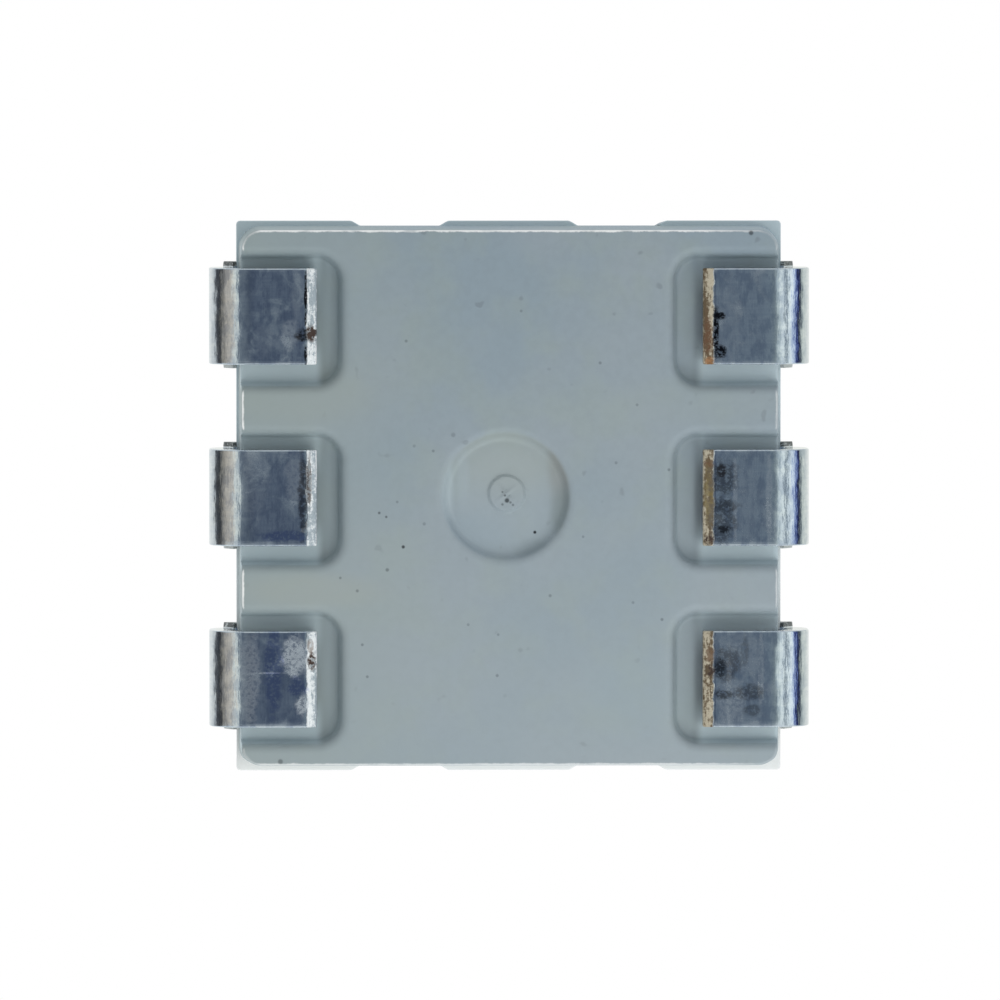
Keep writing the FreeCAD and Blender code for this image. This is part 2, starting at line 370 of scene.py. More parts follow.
def pocket_profile():
    """Section of a pocket's wall: how far a point lies outside the floor's outline, and its height.

    From the floor it rounds into the drafted wall and rounds out again into the mouth.
    """
    run = (pocket_floor - standoff) * math.tan(pocket_draft)
    settings = bpy.context.scene.led_housing
    line = rounded_line(
        [(-pocket_corner, pocket_floor), (0, pocket_floor), (run, standoff), (pocket_corner * 2, standoff)],
        [pocket_foot_rounding, settings.mouth_radius / MM], [5, 9])
    return line[1:-1]


def dimple_profile():
    """Section of the gate dimple: the distance from its axis, and how far a point lies above its floor."""
    run = dimple_depth * math.tan(dimple_draft)
    line = rounded_line(
        [(0, 0), (dimple_radius - run, 0), (dimple_radius, -dimple_depth), (1, -dimple_depth)],
        [dimple_foot_rounding, dimple_rounding], [5, 9])
    return line[:, 0], line[:, 1] + dimple_depth


def corner_steps(profile):
    """Places of the grid lines across a pocket's corner, from the arc's centre to the end of the fade."""
    rising = pocket_corner + profile[:, 0]
    floor = np.linspace(0, rising[0], 7)[:-1]
    fading = rising[-1] + np.linspace(0, mouth_fade, 4)[1:]
    return np.concatenate([floor, rising, fading])


def skirt_profile():
    """Rounding of the rim from the plateau into the drafted side: how far out and how far up it goes."""
    reach = rim_rounding * 2
    line = rounded_line(
        [(-reach, 0), (0, 0), (reach * math.tan(lower_draft), reach)], [rim_rounding], [5])
    return line[1:-1]


def skirt_lines():
    """Grid lines across the rim and up the side, evenly numbered past the flat edge."""
    return np.arange(1, len(skirt_profile()) + 5) * skirt_pitch


def mirrored(lines):
    """Sorted lines on both sides of the middle, each once."""
    both = np.concatenate([lines, -lines])
    return np.unique(np.round(both, 4))


def underside_lines(profile):
    """Grid lines of the underside across X and Y: close together where the surface turns."""
    steps = corner_steps(profile)
    pocket_middle = pocket_half - pocket_corner
    pocket_centre = pocket_end + pocket_corner
    gate = np.concatenate([
        np.linspace(0, gate_radius - gate_edge, 10), gate_radius + gate_edge * np.linspace(-0.7, 1, 6),
        np.linspace(gate_radius + 2 * gate_edge, pocket_middle, 4)])
    middle = np.concatenate([gate, pocket_middle + steps])
    flat_reach = plateau_corner + skirt_profile()[0, 0]
    edge = np.concatenate([np.linspace(0, flat_reach, 8), flat_reach + skirt_lines()])
    shoulder = notch_offset + notch_half - shoulder_lead + notch_run * np.array([0, 0.3])
    x_lines = np.concatenate([
        middle, np.linspace(*plain_span, 5), shoulder, pocket_centre - steps,
        np.linspace(pocket_centre, corner_x, 7), corner_x + edge])
    across_row = np.concatenate([pocket_middle + steps, np.linspace(0, pocket_middle, 5)])
    rows = np.concatenate([pocket_pitch + across_row, pocket_pitch - across_row])
    y_lines = np.concatenate([middle, rows[rows < corner_y + flat_reach - skirt_pitch / 2], corner_y + edge])
    return mirrored(x_lines), mirrored(y_lines)


def pocket_place(x, y):
    """Where a point lies round the nearest pocket's corner: inwards along X, sideways along Y, and the
    middle of that pocket's row."""
    row = pocket_pitch * np.clip(np.round(y / pocket_pitch), -1, 1)
    return pocket_end + pocket_corner - np.abs(x), np.abs(y - row) - (pocket_half - pocket_corner), row


def moved_walls(x, y, row):
    """Places after the pockets' walls are moved: all a little towards -X, those at +Y a little outwards.

    The move fades to nothing under the feet and on the plateau.
    """
    reach, side = np.abs(x), y - row
    near = 1 - smooth_step((moved_reach[0] - reach) / reach_fade)
    along = near * (1 - smooth_step((reach - moved_reach[1]) / reach_fade))
    out = near * (1 - smooth_step((moved_side[0] - side) / side_fade[0]))
    out *= 1 - smooth_step((side - moved_side[1]) / side_fade[1])
    out *= 1 - smooth_step((np.abs(y) - moved_edge) / side_fade[1])
    return x + wall_shift[0] * along, y + wall_shift[1] * out


def underside_rise(x, y, profile):
    """Height of the moulded underside above the plateau.

    A pocket's section is read at the distance to its round-cornered outline. The dimple and its gate are
    read at the distance to the middle, and the broken gate carries two crossed ridges and a pit.
    """
    first, second = pocket_place(x, y)[:2]
    outside = np.hypot(np.maximum(first, 0), np.maximum(second, 0))
    distance = outside + np.minimum(np.maximum(first, second), 0) - pocket_corner
    rise = np.interp(distance, profile[:, 0], profile[:, 1]) - standoff
    dimple_x, dimple_y = x - dimple_shift[0], y - dimple_shift[1]
    rise += np.interp(np.hypot(dimple_x, dimple_y), *dimple_profile())
    gate_x, gate_y = dimple_x - gate_shift[0], dimple_y - gate_shift[1]
    gate = np.hypot(gate_x, gate_y)
    rise -= gate_height * (1 - smooth_step((gate - gate_radius) / gate_edge + 0.5))
    fade = np.exp(-(gate / ridge_reach) ** 2)
    for slope, height in gate_ridges:
        away = (gate_y - slope * gate_x) / math.hypot(1, slope)
        rise -= height * fade * np.exp(-(away / ridge_half) ** 2)
    pit = np.hypot(gate_x - pit_place[0], gate_y - pit_place[1])
    return rise + pit_depth * np.exp(-(pit / pit_radius) ** 2)


def onto_dimple(x, y, profile):
    """Turns the square rings about the middle onto the dimple's circles, and moves them to its place."""
    last_ring = pocket_half + profile[-1, 0]
    gate_ring = gate_radius + 2 * gate_edge
    rings = dimple_profile()[0]
    old = [0, gate_ring, pocket_half - pocket_corner, pocket_half + profile[0, 0], last_ring]
    new = [0, gate_ring, rings[1] - dimple_floor_gap, rings[1] - dimple_ring_gap,
           rings[-2] + dimple_ring_gap]
    round_x, round_y = round_off(
        np.abs(x), np.abs(y), last_ring, lambda inside: np.interp(inside, old, new), dimple_fade)
    still = np.clip(1 - (np.maximum(round_x, round_y) - last_ring) / dimple_fade, 0, 1)
    return (np.where(x < 0, -round_x, round_x) + dimple_shift[0] * still,
            np.where(y < 0, -round_y, round_y) + dimple_shift[1] * still)


def onto_pockets(x, y, profile):
    """Turns the square corners round each pocket onto its arcs. Also gives the middle of the point's row."""
    first, second, row = pocket_place(x, y)
    first, second = round_off(
        first, second, pocket_corner + profile[-1, 0], lambda inside: inside, mouth_fade)
    reach = pocket_end + pocket_corner - first
    side = second + pocket_half - pocket_corner
    return np.where(x < 0, -reach, reach), np.where(y < row, row - side, row + side), row


def underside(profile):
    """Underside of the housing down to the parting line, as a grid of points over X and Y.

    The grid's square corners are turned onto the arcs of the pockets, of the dimple and of the body, each
    point is raised by the moulded relief, and past the flat edge the lines round over the rim and climb the
    drafted side to the parting line. Returns the points, and the places of the lines for the outer ring.
    """
    x_lines, y_lines = underside_lines(profile)
    grid_x, grid_y = np.meshgrid(x_lines, y_lines)
    sign_x, sign_y = np.where(grid_x < 0, -1, 1), np.where(grid_y < 0, -1, 1)
    arc = skirt_profile()
    flat_reach = plateau_corner + arc[0, 0]
    out_x, out_y = np.abs(grid_x) - corner_x, np.abs(grid_y) - corner_y
    reach, along, across = turn_corner(out_x, out_y)
    flat = np.minimum(reach, flat_reach)
    x = sign_x * (corner_x + np.minimum(out_x, 0) + flat * along)
    y = sign_y * (corner_y + np.minimum(out_y, 0) + flat * across)
    x, y = onto_dimple(x, y, profile)
    x, y, row = onto_pockets(x, y, profile)
    rise = underside_rise(x, y, profile)
    x, y = moved_walls(x, y, row)

    step = np.clip((reach - flat_reach) / skirt_pitch, 0, None)
    last_arc = len(arc) - 1
    numbers = np.arange(len(arc))
    lean = rise * math.tan(lower_draft) * np.minimum(step, 1)
    out = np.interp(step, numbers, arc[:, 0] - arc[0, 0]) + lean
    up = rise + np.interp(step, numbers, arc[:, 1])
    wall = np.clip((step - last_arc) / (len(skirt_lines()) - last_arc), 0, 1)
    out += (lower_corner - flat_reach - out) * wall
    up += (parting_height - standoff - up) * wall
    x += sign_x * out * along
    y += sign_y * out * across
    around = np.arctan2(y, x) * half_length
    lip = rim_lip * (0.5 + 0.5 * np.tanh(waves(around, seed=5, lowest=6, highest=60, count=9)))
    z = standoff + up - lip * np.exp(-((step - lip_line) / lip_spread) ** 2) * (rise < standoff)
    return np.stack([x, y, z], axis=-1), x_lines, y_lines


def outer_ring(rows, columns):
    """Numbers of the points round the edge of a grid, anticlockwise from its first corner."""
    numbers = np.arange(rows * columns).reshape(rows, columns)
    return np.concatenate([numbers[0], numbers[1:, -1], numbers[-1, -2::-1], numbers[-2:0:-1, 0]])


def notch_inset(x):
    """Depth of the shallow notches along the sides without leads, with soft shoulders."""
    away = np.abs(np.abs(x) - notch_offset)
    return notch_depth * smooth_step((notch_half + notch_run - away) / notch_run)


def upper_outline(ring_x, ring_y, inset):
    """Outline of the upper body moved inwards by the inset, with its notches and small round corners.

    ring_x and ring_y are the places on the full outline.
    """
    on_side = np.abs(ring_y) > half_width - 1e-6
    x = np.abs(ring_x) * (1 - inset / half_length)
    y = np.abs(ring_y) * (1 - inset / half_width) - np.where(on_side, notch_inset(ring_x), 0)
    past_x = x - (half_length - inset - upper_corner)
    past_y = y - (half_width - inset - upper_corner)
    both = (past_x > 0) & (past_y > 0)
    shrink = np.where(both, upper_corner / np.maximum(np.hypot(past_x, past_y), 1e-9), 1)
    x = np.where(both, x - past_x * (1 - shrink), x)
    y = np.where(both, y - past_y * (1 - shrink), y)
    return np.sign(ring_x) * x, np.sign(ring_y) * y


def mark_plane(x, y):
    """Height of the plane that cuts the corner beside the first lead."""
    return body_top - mark_depth + mark_depth * ((x + half_length) + (y + half_width)) / mark_leg


def housing_rings(ring_x, ring_y):
    """Rings of the upper body from the parting line up its side, over the top face and down into the cup.

    Each ring is the outline moved inwards by its own inset at its own height. On the top face the rings
    change from the outline to the cup's circle, and one of them follows the edge of the corner cut.
    """
    rings = []

    def add(x, y, z):
        rings.append(np.stack([x, y, np.broadcast_to(z, x.shape)], axis=-1))

    for turn in np.radians([0, 35, 65, 90]):
        inset = upper_rounding * (1 - math.sin(turn))
        x, y = upper_outline(ring_x, ring_y, inset)
        add(x, y, parting_height + upper_rounding * (1 - math.cos(turn)))
    top_inset = (body_top - parting_height) * math.tan(upper_draft)
    for share in (0.12, 0.4, 0.7, 0.94):
        x, y = upper_outline(ring_x, ring_y, share * top_inset)
        top = np.minimum(mark_plane(x, y), body_top)
        add(x, y, parting_height + share * (top - parting_height))
    for turn in np.radians([15, 40, 65, 90]):
        x, y = upper_outline(ring_x, ring_y, top_inset + top_rounding * (1 - math.cos(turn)))
        top = np.minimum(mark_plane(x, y), body_top)
        add(x, y, top - top_rounding * (1 - math.sin(turn)))
    cup = rounded_line(
        [(half_width, body_top), (cup_radius, body_top), (cup_floor_radius, cup_floor), (0, cup_floor)],
        [cup_rim_rounding, cup_foot_rounding], [6, 6])[1:-1]
    start_x, start_y = x, y
    distance = np.hypot(start_x, start_y)
    turn_x, turn_y = start_x / distance, start_y / distance
    end_x, end_y = turn_x * cup[0, 0], turn_y * cup[0, 0]
    start_level = mark_plane(start_x, start_y) - body_top
    end_level = mark_plane(end_x, end_y) - body_top
    crossing = np.clip(-start_level / (end_level - start_level), 0, 1)
    count, at_cut = 12, 5
    for number in range(1, count):
        even = number / count
        before = crossing * number / at_cut
        after = crossing + (1 - crossing) * (number - at_cut) / (count - at_cut)
        share = np.where(start_level < 0, before if number <= at_cut else after, even)
        x = start_x + (end_x - start_x) * share
        y = start_y + (end_y - start_y) * share
        add(x, y, np.minimum(mark_plane(x, y), body_top))
    for radius, height in cup:
        add(turn_x * radius, turn_y * radius, height)
    for share in (0.97, 0.8, 0.55, 0.3, 0.1):
        add(turn_x * cup_flat_radius * share, turn_y * cup_flat_radius * share, cup_floor)
    return rings


def housing_mesh():
    """Whole housing as one closed surface: the grid of its underside, and the rings that close it."""
    profile = pocket_profile()
    profile = profile[np.argsort(profile[:, 0])]
    grid, x_lines, y_lines = underside(profile)
    rows, columns = grid.shape[:2]
    edge = outer_ring(rows, columns)
    grid_x, grid_y = np.meshgrid(x_lines, y_lines)

    def stretched(place, corner, last, half):
        past = np.abs(place) - corner
        wide = np.where(past > 0, corner + past / (last - corner) * (half - corner), np.abs(place))
        return np.where(place < 0, -wide, wide)

    ring_x = stretched(grid_x.ravel()[edge], corner_x, x_lines[-1], half_length)
    ring_y = stretched(grid_y.ravel()[edge], corner_y, y_lines[-1], half_width)
    rings = np.array(housing_rings(ring_x, ring_y))
    points = np.vstack([grid.reshape(-1, 3), rings.reshape(-1, 3), [[0, 0, cup_floor]]])
    numbers = rows * columns + np.arange(len(rings) * len(edge)).reshape(len(rings), len(edge))
    numbers = np.vstack([edge, numbers])
    closed = np.hstack([numbers, numbers[:, :1]])
    side = np.stack([closed[:-1, :-1], closed[1:, :-1], closed[1:, 1:], closed[:-1, 1:]], axis=-1)
    underside_quads = grid_quads(rows, columns, False)[:, ::-1]
    triangles = fan(numbers[-1], len(points) - 1)
    return points, np.vstack([underside_quads, side.reshape(-1, 4)[:, ::-1]]), triangles


# Leads

def section_loop():
    """Round-cornered section of a strip: which way each point lies across thickness and width.

    Returns the shares of the flat halves and the directions of the corner arcs, both as two columns.
    """
    quarter = np.radians(np.linspace(0, 90, 4))
    wide = np.linspace(1, -1, 9)[1:-1]
    thin = np.linspace(1, -1, 4)[1:-1]
    flat, arc = [], []
    corners = [(1, 1, 0), (-1, 1, 90), (-1, -1, 180), (1, -1, 270)]
    between = [np.stack([thin, np.ones(2)], 1), np.stack([-np.ones(7), wide], 1),
               np.stack([-thin, -np.ones(2)], 1), np.stack([np.ones(7), -wide], 1)]
    outward = [(0, 1), (-1, 0), (0, -1), (1, 0)]
    for (sign_n, sign_y, start), points, way in zip(corners, between, outward):
        turn = quarter + math.radians(start)
        flat.append(np.tile([sign_n, sign_y], (len(turn), 1)))
        arc.append(np.stack([np.cos(turn), np.sin(turn)], 1))
        flat.append(points)
        arc.append(np.tile(way, (len(points), 1)))
    return np.vstack(flat), np.vstack(arc)


def lead_stations(finger_end):
    """Stations along a lead at +X: place, outward direction, and how its section changes there.

    The line runs from the tip under the body, round the lower bend, up, round the upper bend and in along
    its finger. Columns: x, z, outward x, outward z, inset of the end rounding, rise of the tip bevel,
    share of the stub, and share of the way from the neck to the finger.
    """
    half = lead_thickness / 2
    low_radius, high_radius = lower_bend + half, upper_bend + half
    low_x, low_z = lead_face - lower_bend - lead_thickness, lower_bend + lead_thickness
    high_x = lead_face - upper_bend - lead_thickness
    high_z = parting_height - upper_bend
    rows = []

    def add(x, z, out_x, out_z, inset=0.0, rise=0.0, stub=0.0, finger=0.0):
        rows.append((x, z, out_x, out_z, inset, rise, stub, finger))

    for turn in np.radians([0, 30, 60, 90]):
        share = lead_edge * (1 - math.cos(turn))
        left = 1 - share / tip_bevel
        add(foot_tip + share, half, 0, -1, lead_edge * (1 - math.sin(turn)), tip_rise * left ** tip_curve)
    for share in (0.25, 0.4, 0.55, 0.7, 0.85, 0.95, 1, 1.1, 1.3):
        left = max(1 - share, 0)
        add(foot_tip + share * tip_bevel, half, 0, -1, 0, tip_rise * left ** tip_curve)
    for x in np.linspace(foot_tip + 1.6 * tip_bevel, low_x, 8):
        add(x, half, 0, -1)
    for turn in np.radians(np.linspace(-90, 0, 19))[1:]:
        add(low_x + low_radius * math.cos(turn), low_z + low_radius * math.sin(turn),
            math.cos(turn), math.sin(turn))
    for z in np.linspace(low_z, high_z, 5)[1:-1]:
        add(lead_face - half, z, 1, 0)
    for turn in np.radians([0, 12, 24, 36, 48, 57, 62, 63.5, 68, 76, 84, 90]):
        add(high_x + high_radius * math.cos(turn), high_z + high_radius * math.sin(turn),
            math.cos(turn), math.sin(turn), stub=1.0 if turn > stub_start else 0.0)
    height = parting_height + half
    add(half_length, height, 0, 1, stub=1)
    add(half_length - stub_sink, height, 0, 1)
    for x in np.linspace(half_length - 0.1, neck_end, 4):
        add(x, height, 0, 1)
    for x in np.linspace(neck_end, jog_end, 9)[1:]:
        add(x, height, 0, 1, finger=(neck_end - x) / (neck_end - jog_end))
    for x in np.linspace(jog_end, finger_end + 4 * lead_edge, 6)[1:]:
        add(x, height, 0, 1, finger=1)
    for turn in np.radians([90, 60, 30, 0]):
        add(finger_end + lead_edge * (1 - math.cos(turn)), height, 0, 1,
            lead_edge * (1 - math.sin(turn)), finger=1)
    return np.array(rows)


def lead_mesh(side, step):
    """One lead as a closed surface: its section carried along its line.

    A point lies on the line, plus its share of the thickness along the outward direction, plus its share
    of the width along Y. Both shares are less by the edge rounding, which the corner arcs add again.
    """
    finger_end = short_finger_end if side > 0 else -long_finger_end
    x, z, out_x, out_z, inset, rise, stub, finger = lead_stations(finger_end).T[:, :, None]
    flat, arc = section_loop()
    edge = lead_edge
    half = lead_thickness / 2
    outer = half - rise - edge - inset
    inner = half - edge - inset
    depth = np.where(flat[:, 0] > 0, flat[:, 0] * outer, flat[:, 0] * inner) + arc[:, 0] * edge
    middle = step * (lead_pitch + (finger_pitch - lead_pitch) * finger)
    width = lead_width + (finger_width - lead_width) * finger + 2 * stub_width * stub
    across = middle + flat[:, 1] * (width / 2 - edge - inset) + arc[:, 1] * edge
    return capped(np.stack([side * (x + out_x * depth), across, z + out_z * depth], axis=-1))


# Dies, attach, wires and filling

def stack_mesh(middle, half_x, half_y, corner, levels):
    """Closed block: a round-cornered rectangle carried up its levels, each a height and an inset."""
    turns = np.radians(np.concatenate([np.linspace(0, 90, 5) + start for start in (0, 90, 180, 270)]))
    sign_x = np.repeat([1, -1, -1, 1], 5)
    sign_y = np.repeat([1, 1, -1, -1], 5)
    heights, insets = np.array(levels).T[:, :, None]
    rounding = np.maximum(corner - insets, corner * 0.25)
    x = middle[0] + sign_x * (half_x - insets - rounding) + np.cos(turns) * rounding
    y = middle[1] + sign_y * (half_y - insets - rounding) + np.sin(turns) * rounding
    return capped(np.stack([x, y, np.broadcast_to(middle[2] + heights, x.shape)], axis=-1))


def die_mesh(y, length, width, height):
    """Die on its attach: a block whose upper part steps in over its active layer."""
    return stack_mesh((0, y, frame_top + attach_height), length / 2, width / 2, die_corner, [
        (0, 0.006), (0.004, 0), (height * 0.72, 0), (height * 0.74, 0.012),
        (height - 0.004, 0.014), (height, 0.018)])


def joined(parts):
    """Several closed surfaces as one set of points and faces."""
    points, quads, triangles, before = [], [], [], 0
    for part_points, part_quads, part_triangles in parts:
        points.append(part_points)
        quads.append(part_quads + before)
        triangles.append(part_triangles + before)
        before += len(part_points)
    return np.vstack(points), np.vstack(quads), np.vstack(triangles)


def wire_mesh(start, end):
    """Bond wire: a round section carried from its ball, up and over a bow, down to its flattened stitch.

    The bow is a cubic curve of four points: straight up from the ball, then over towards the stitch. The
    section is wide at the ball, narrows in its neck, and spreads sideways and thins over the stitch.
    """
    start, end = np.array(start, float), np.array(end, float)
    share = np.linspace(0, 1, 33)[:, None]
    rise = np.array([0, 0, loop_rise])
    over = start + (end - start) * bow_reach
    over[2] = start[2] + loop_rise * bow_top
    first = start + [0, 0, ball_height]
    line = ((1 - share) ** 3 * first + 3 * share * (1 - share) ** 2 * (first + rise * bow_start)
            + 3 * share ** 2 * (1 - share) * over + share ** 3 * end)
    neck = 8
    ball_turn = np.linspace(-1, 1, neck + 1)[:-1]
    ball_width = ball_radius * np.sqrt(np.maximum(1 - np.abs(ball_turn) ** 3, 0.05))
    ball = start + np.outer(0.5 + 0.5 * ball_turn, [0, 0, ball_height])
    path = np.vstack([ball, line])
    run = np.gradient(path, axis=0)
    run /= np.linalg.norm(run, axis=1)[:, None]
    side = np.tile([0.0, 1.0, 0.0], (len(path), 1))
    up = np.cross(run, side)
    flattened = smooth_step((share[:, 0] - 1) / stitch_share + 1)
    wide = np.concatenate([ball_width, wire_radius + (stitch_half - wire_radius) * flattened])
    thin = np.concatenate([ball_width, wire_radius * (1 - stitch_thinning * flattened)])
    wide[neck] = thin[neck] = neck_radius
    turns = np.linspace(0, 2 * math.pi, 14, endpoint=False)
    ring = (np.cos(turns)[None, :, None] * up[:, None] * thin[:, None, None]
            + np.sin(turns)[None, :, None] * side[:, None] * wide[:, None, None])
    rings = path[:, None] + ring
    rings[..., 2] = np.maximum(rings[..., 2], frame_top - stitch_lift)
    return capped(rings)


def filling_mesh():
    """Clear filling: a section turned about the middle, sunk a little into the cup's floor and wall.

    Its upper face is a shallow dish with a narrow meniscus that creeps up at the wall.
    """
    slope = (cup_radius - cup_floor_radius) / (body_top - frame_top)
    rim = body_top - fill_below_rim
    rim_radius = cup_floor_radius + slope * (rim - frame_top)
    bottom = cup_floor - fill_overlap
    radii = rim_radius * np.array([0.1, 0.3, 0.5, 0.7, 0.82, 0.9, 0.94, 0.96, 0.975, 0.985, 0.993, 1.0])
    height = rim - fill_sag + fill_sag * (1 - meniscus_share) * (radii / rim_radius) ** 2
    height += fill_sag * meniscus_share * np.exp((radii - rim_radius) / meniscus_width)
    section = np.vstack([
        [[radius, bottom] for radius in (0.4, 1.0, 1.5, cup_floor_radius + fill_overlap)],
        [[cup_floor_radius + fill_overlap + slope * fill_wall_start, cup_floor + fill_wall_start]],
        [[rim_radius + fill_overlap, rim]],
        np.stack([radii, height], axis=1)[::-1]])
    turns = np.linspace(0, 2 * math.pi, 160, endpoint=False)
    rings = np.stack([
        section[:, :1] * np.cos(turns), section[:, :1] * np.sin(turns),
        np.broadcast_to(section[:, 1:], (len(section), len(turns)))], axis=-1)
    return capped(rings, np.array([[0, 0, bottom], [0, 0, rim - fill_sag]]))


# Finishes

# The picture: the pixel that shows the middle of the underside, and its scale
picture_middle = (508.8, 497.0)
pixels_per_mm = 109.4


def paint(red, green, blue):
    """Linear colour for a display colour given from 0 to 255."""
    shares = np.array([red, green, blue]) / 255
    linear = np.where(shares <= 0.04045, shares / 12.92, ((shares + 0.055) / 1.055) ** 2.4)
    return tuple(linear)


def opaque(colour):
    """Colour with its full alpha, as the nodes take it. A socket stays as it is."""
    return colour if isinstance(colour, bpy.types.NodeSocket) else (*tuple(colour)[:3], 1.0)


class Nodes:
    """A node tree with short ways to add its nodes."""

    def __init__(self, tree, output):
        self.tree = tree
        tree.nodes.clear()
        self.output = self.add(output)

    def join(self, source, target):
        """Links a socket, or sets a plain value."""
        if isinstance(source, bpy.types.NodeSocket):
            self.tree.links.new(source, target)
        else:
            target.default_value = source

    def add(self, kind, sockets=(), **options):
        """New node with its options set, and with links or plain values in the sockets named or numbered."""
        node = self.tree.nodes.new("ShaderNode" + kind)
        for name, value in options.items():
            setattr(node, name, value)
        for socket, value in dict(sockets).items():
            self.join(value, node.inputs[socket])
        return node

    def math(self, operation, *values):
        """Result of one sum."""
        return self.add("Math", enumerate(values), operation=operation).outputs[0]

    def repeated(self, operation, values):
        """Result of the same sum carried through all the values."""
        total = values[0]
        for value in values[1:]:
            total = self.math(operation, total, value)
        return total

    def times(self, *values):
        return self.repeated("MULTIPLY", values)

    def plus(self, *values):
        return self.repeated("ADD", values)

    def highest(self, *values):
        return self.repeated("MAXIMUM", values)

    def minus(self, first, second):
        return self.math("SUBTRACT", first, second)

    def size(self, value):
        """The value without its sign."""
        return self.math("ABSOLUTE", value)

    def rise(self, value, low, high, to_low=0.0, to_high=1.0):
        """Smooth rise of a value from one level to another. It falls where low lies above high."""
        sockets = {"Value": value, "From Min": low, "From Max": high, "To Min": to_low, "To Max": to_high}
        return self.add("MapRange", sockets, interpolation_type="SMOOTHSTEP").outputs["Result"]

    def mix(self, share, first, second):
        """Colour between two colours."""
        sockets = {0: share, 6: opaque(first), 7: opaque(second)}
        return self.add("Mix", sockets, data_type="RGBA").outputs[2]

    def blend(self, share, first, second):
        """Shader between two shaders."""
        return self.add("MixShader", {0: share, 1: first, 2: second}).outputs[0]


class Finish(Nodes):
    """One material. Its patterns read Object coordinates in millimetres."""

    def __init__(self, name):
        self.material = bpy.data.materials.new(name)
        self.material.use_nodes = True
        super().__init__(self.material.node_tree, "OutputMaterial")
        self.shader = self.add("BsdfPrincipled")
        self.show(self.shader.outputs[0])
        where = self.add("TexCoord").outputs["Object"]
        self.place = self.add("VectorMath", {0: where, "Scale": 1 / MM}, operation="SCALE").outputs[0]
        self.x, self.y, self.z = self.add("SeparateXYZ", {0: self.place}).outputs

    def show(self, shader):
        """Makes a shader the one that the material shows."""
        self.join(shader, self.output.inputs[0])

    def set(self, **values):
        """Values or links of the shader's own sockets, with spaces written as underscores."""
        for name, value in values.items():
            self.join(value, self.shader.inputs[name.replace("_", " ")])

    def noise(self, scale, detail=3.0, stretch=(1, 1, 1), shift=(0, 0, 0), roughness=0.55, distortion=0.0):
        """Noise whose scale is in waves to the millimetre, stretched along an axis by a small factor."""
        place = self.add("Mapping", {"Vector": self.place, "Scale": stretch, "Location": shift}).outputs[0]
        sockets = {"Vector": place, "Scale": scale, "Detail": detail, "Roughness": roughness,
                   "Distortion": distortion}
        return self.add("TexNoise", sockets).outputs["Fac"]

    def swing(self, pattern, amount):
        """A noise pattern as a swing about zero."""
        return self.times(self.minus(pattern, 0.5), amount)

    def spot(self, x, y, half_x, half_y, soft, wobble=0.0):
        """Share of a soft oval on the underside: 1 inside and 0 outside. Place and size are in pixels."""
        squares = []
        for place, pixel, middle, half in ((self.x, x, picture_middle[0], half_x),
                                           (self.y, y, picture_middle[1], half_y)):
            away = self.minus(place, (pixel - middle) / pixels_per_mm)
            away = self.math("DIVIDE", away, half / pixels_per_mm)
            squares.append(self.times(away, away))
        distance = self.plus(self.math("SQRT", self.plus(*squares)), wobble)
        return self.rise(distance, 1 + soft, 1 - soft)

    def bump(self, height, strength, depth, normal=None):
        """Bump of a height field, whose depth is in millimetres."""
        sockets = {"Height": height, "Strength": strength, "Distance": depth * MM}
        if normal is not None:
            sockets["Normal"] = normal
        return self.add("Bump", sockets).outputs[0]


# Finish of the moulding

# Dark specks in the picture: x, y, radius and strength
specks = [
    (534, 532, 1.5, 1.0), (402, 546, 1.6, 0.85), (378, 512, 1.3, 0.6), (385, 516, 1.2, 0.6),
    (423, 523, 1.6, 0.3), (413, 445, 1.5, 0.25), (432, 450, 1.4, 0.35), (396, 501, 1.3, 0.3),
    (386, 569, 1.7, 0.45), (356, 590, 1.5, 0.4), (339, 577, 1.3, 0.4), (405, 340, 1.5, 0.35),
    (452, 434, 2.2, 0.25), (520, 310, 1.4, 0.3), (599, 362, 1.5, 0.35), (636, 404, 1.4, 0.3),
    (750, 232, 2.2, 0.7), (615, 462, 1.5, 0.3), (668, 469, 1.4, 0.4), (582, 536, 1.3, 0.3),
    (549, 595, 1.5, 0.35), (361, 644, 1.4, 0.4), (467, 624, 1.4, 0.3), (497, 634, 1.3, 0.3),
    (496, 675, 1.5, 0.35), (366, 676, 1.4, 0.4), (279, 761, 2.4, 0.5), (661, 619, 1.5, 0.4),
    (632, 602, 1.4, 0.3), (506, 500, 2.2, 0.8), (501.5, 491.5, 1.0, 0.5), (504, 495, 1.1, 0.6),
    (509.5, 502, 1.2, 0.5), (501.5, 504, 1.2, 0.5), (512, 504.5, 1.2, 0.45),
]
speck_colour = (0.012, 0.014, 0.018)
grain_colour = (0.16, 0.19, 0.21)
faint_colour = (0.12, 0.14, 0.16)

# Soft ovals on the underside, placed in pixels: x, y, half width, half height, strength and colour. Lighter
# ovals lie beside the pockets and on the plateau; the darker ones are painted shade on the upper strips of
# the third row of pockets and painted shadows beside the tips of the right feet.
painted_shade_and_tints = [
    (300, 395, 70, 26, 0.35, (154, 164, 158)), (690, 400, 90, 22, 0.3, (152, 164, 164)),
    (310, 590, 70, 16, 0.4, (160, 168, 162)), (640, 690, 60, 40, 0.3, (150, 166, 172)),
    (275, 620, 36, 6, 0.5, (104, 116, 122)), (742, 622, 38, 5, 0.65, (92, 104, 110)),
    (700.5, 316, 6, 46, 0.35, (92, 98, 102)), (700.5, 498, 6, 46, 0.5, (88, 94, 98)),
    (700.5, 678, 6, 46, 0.45, (88, 94, 98)),
]
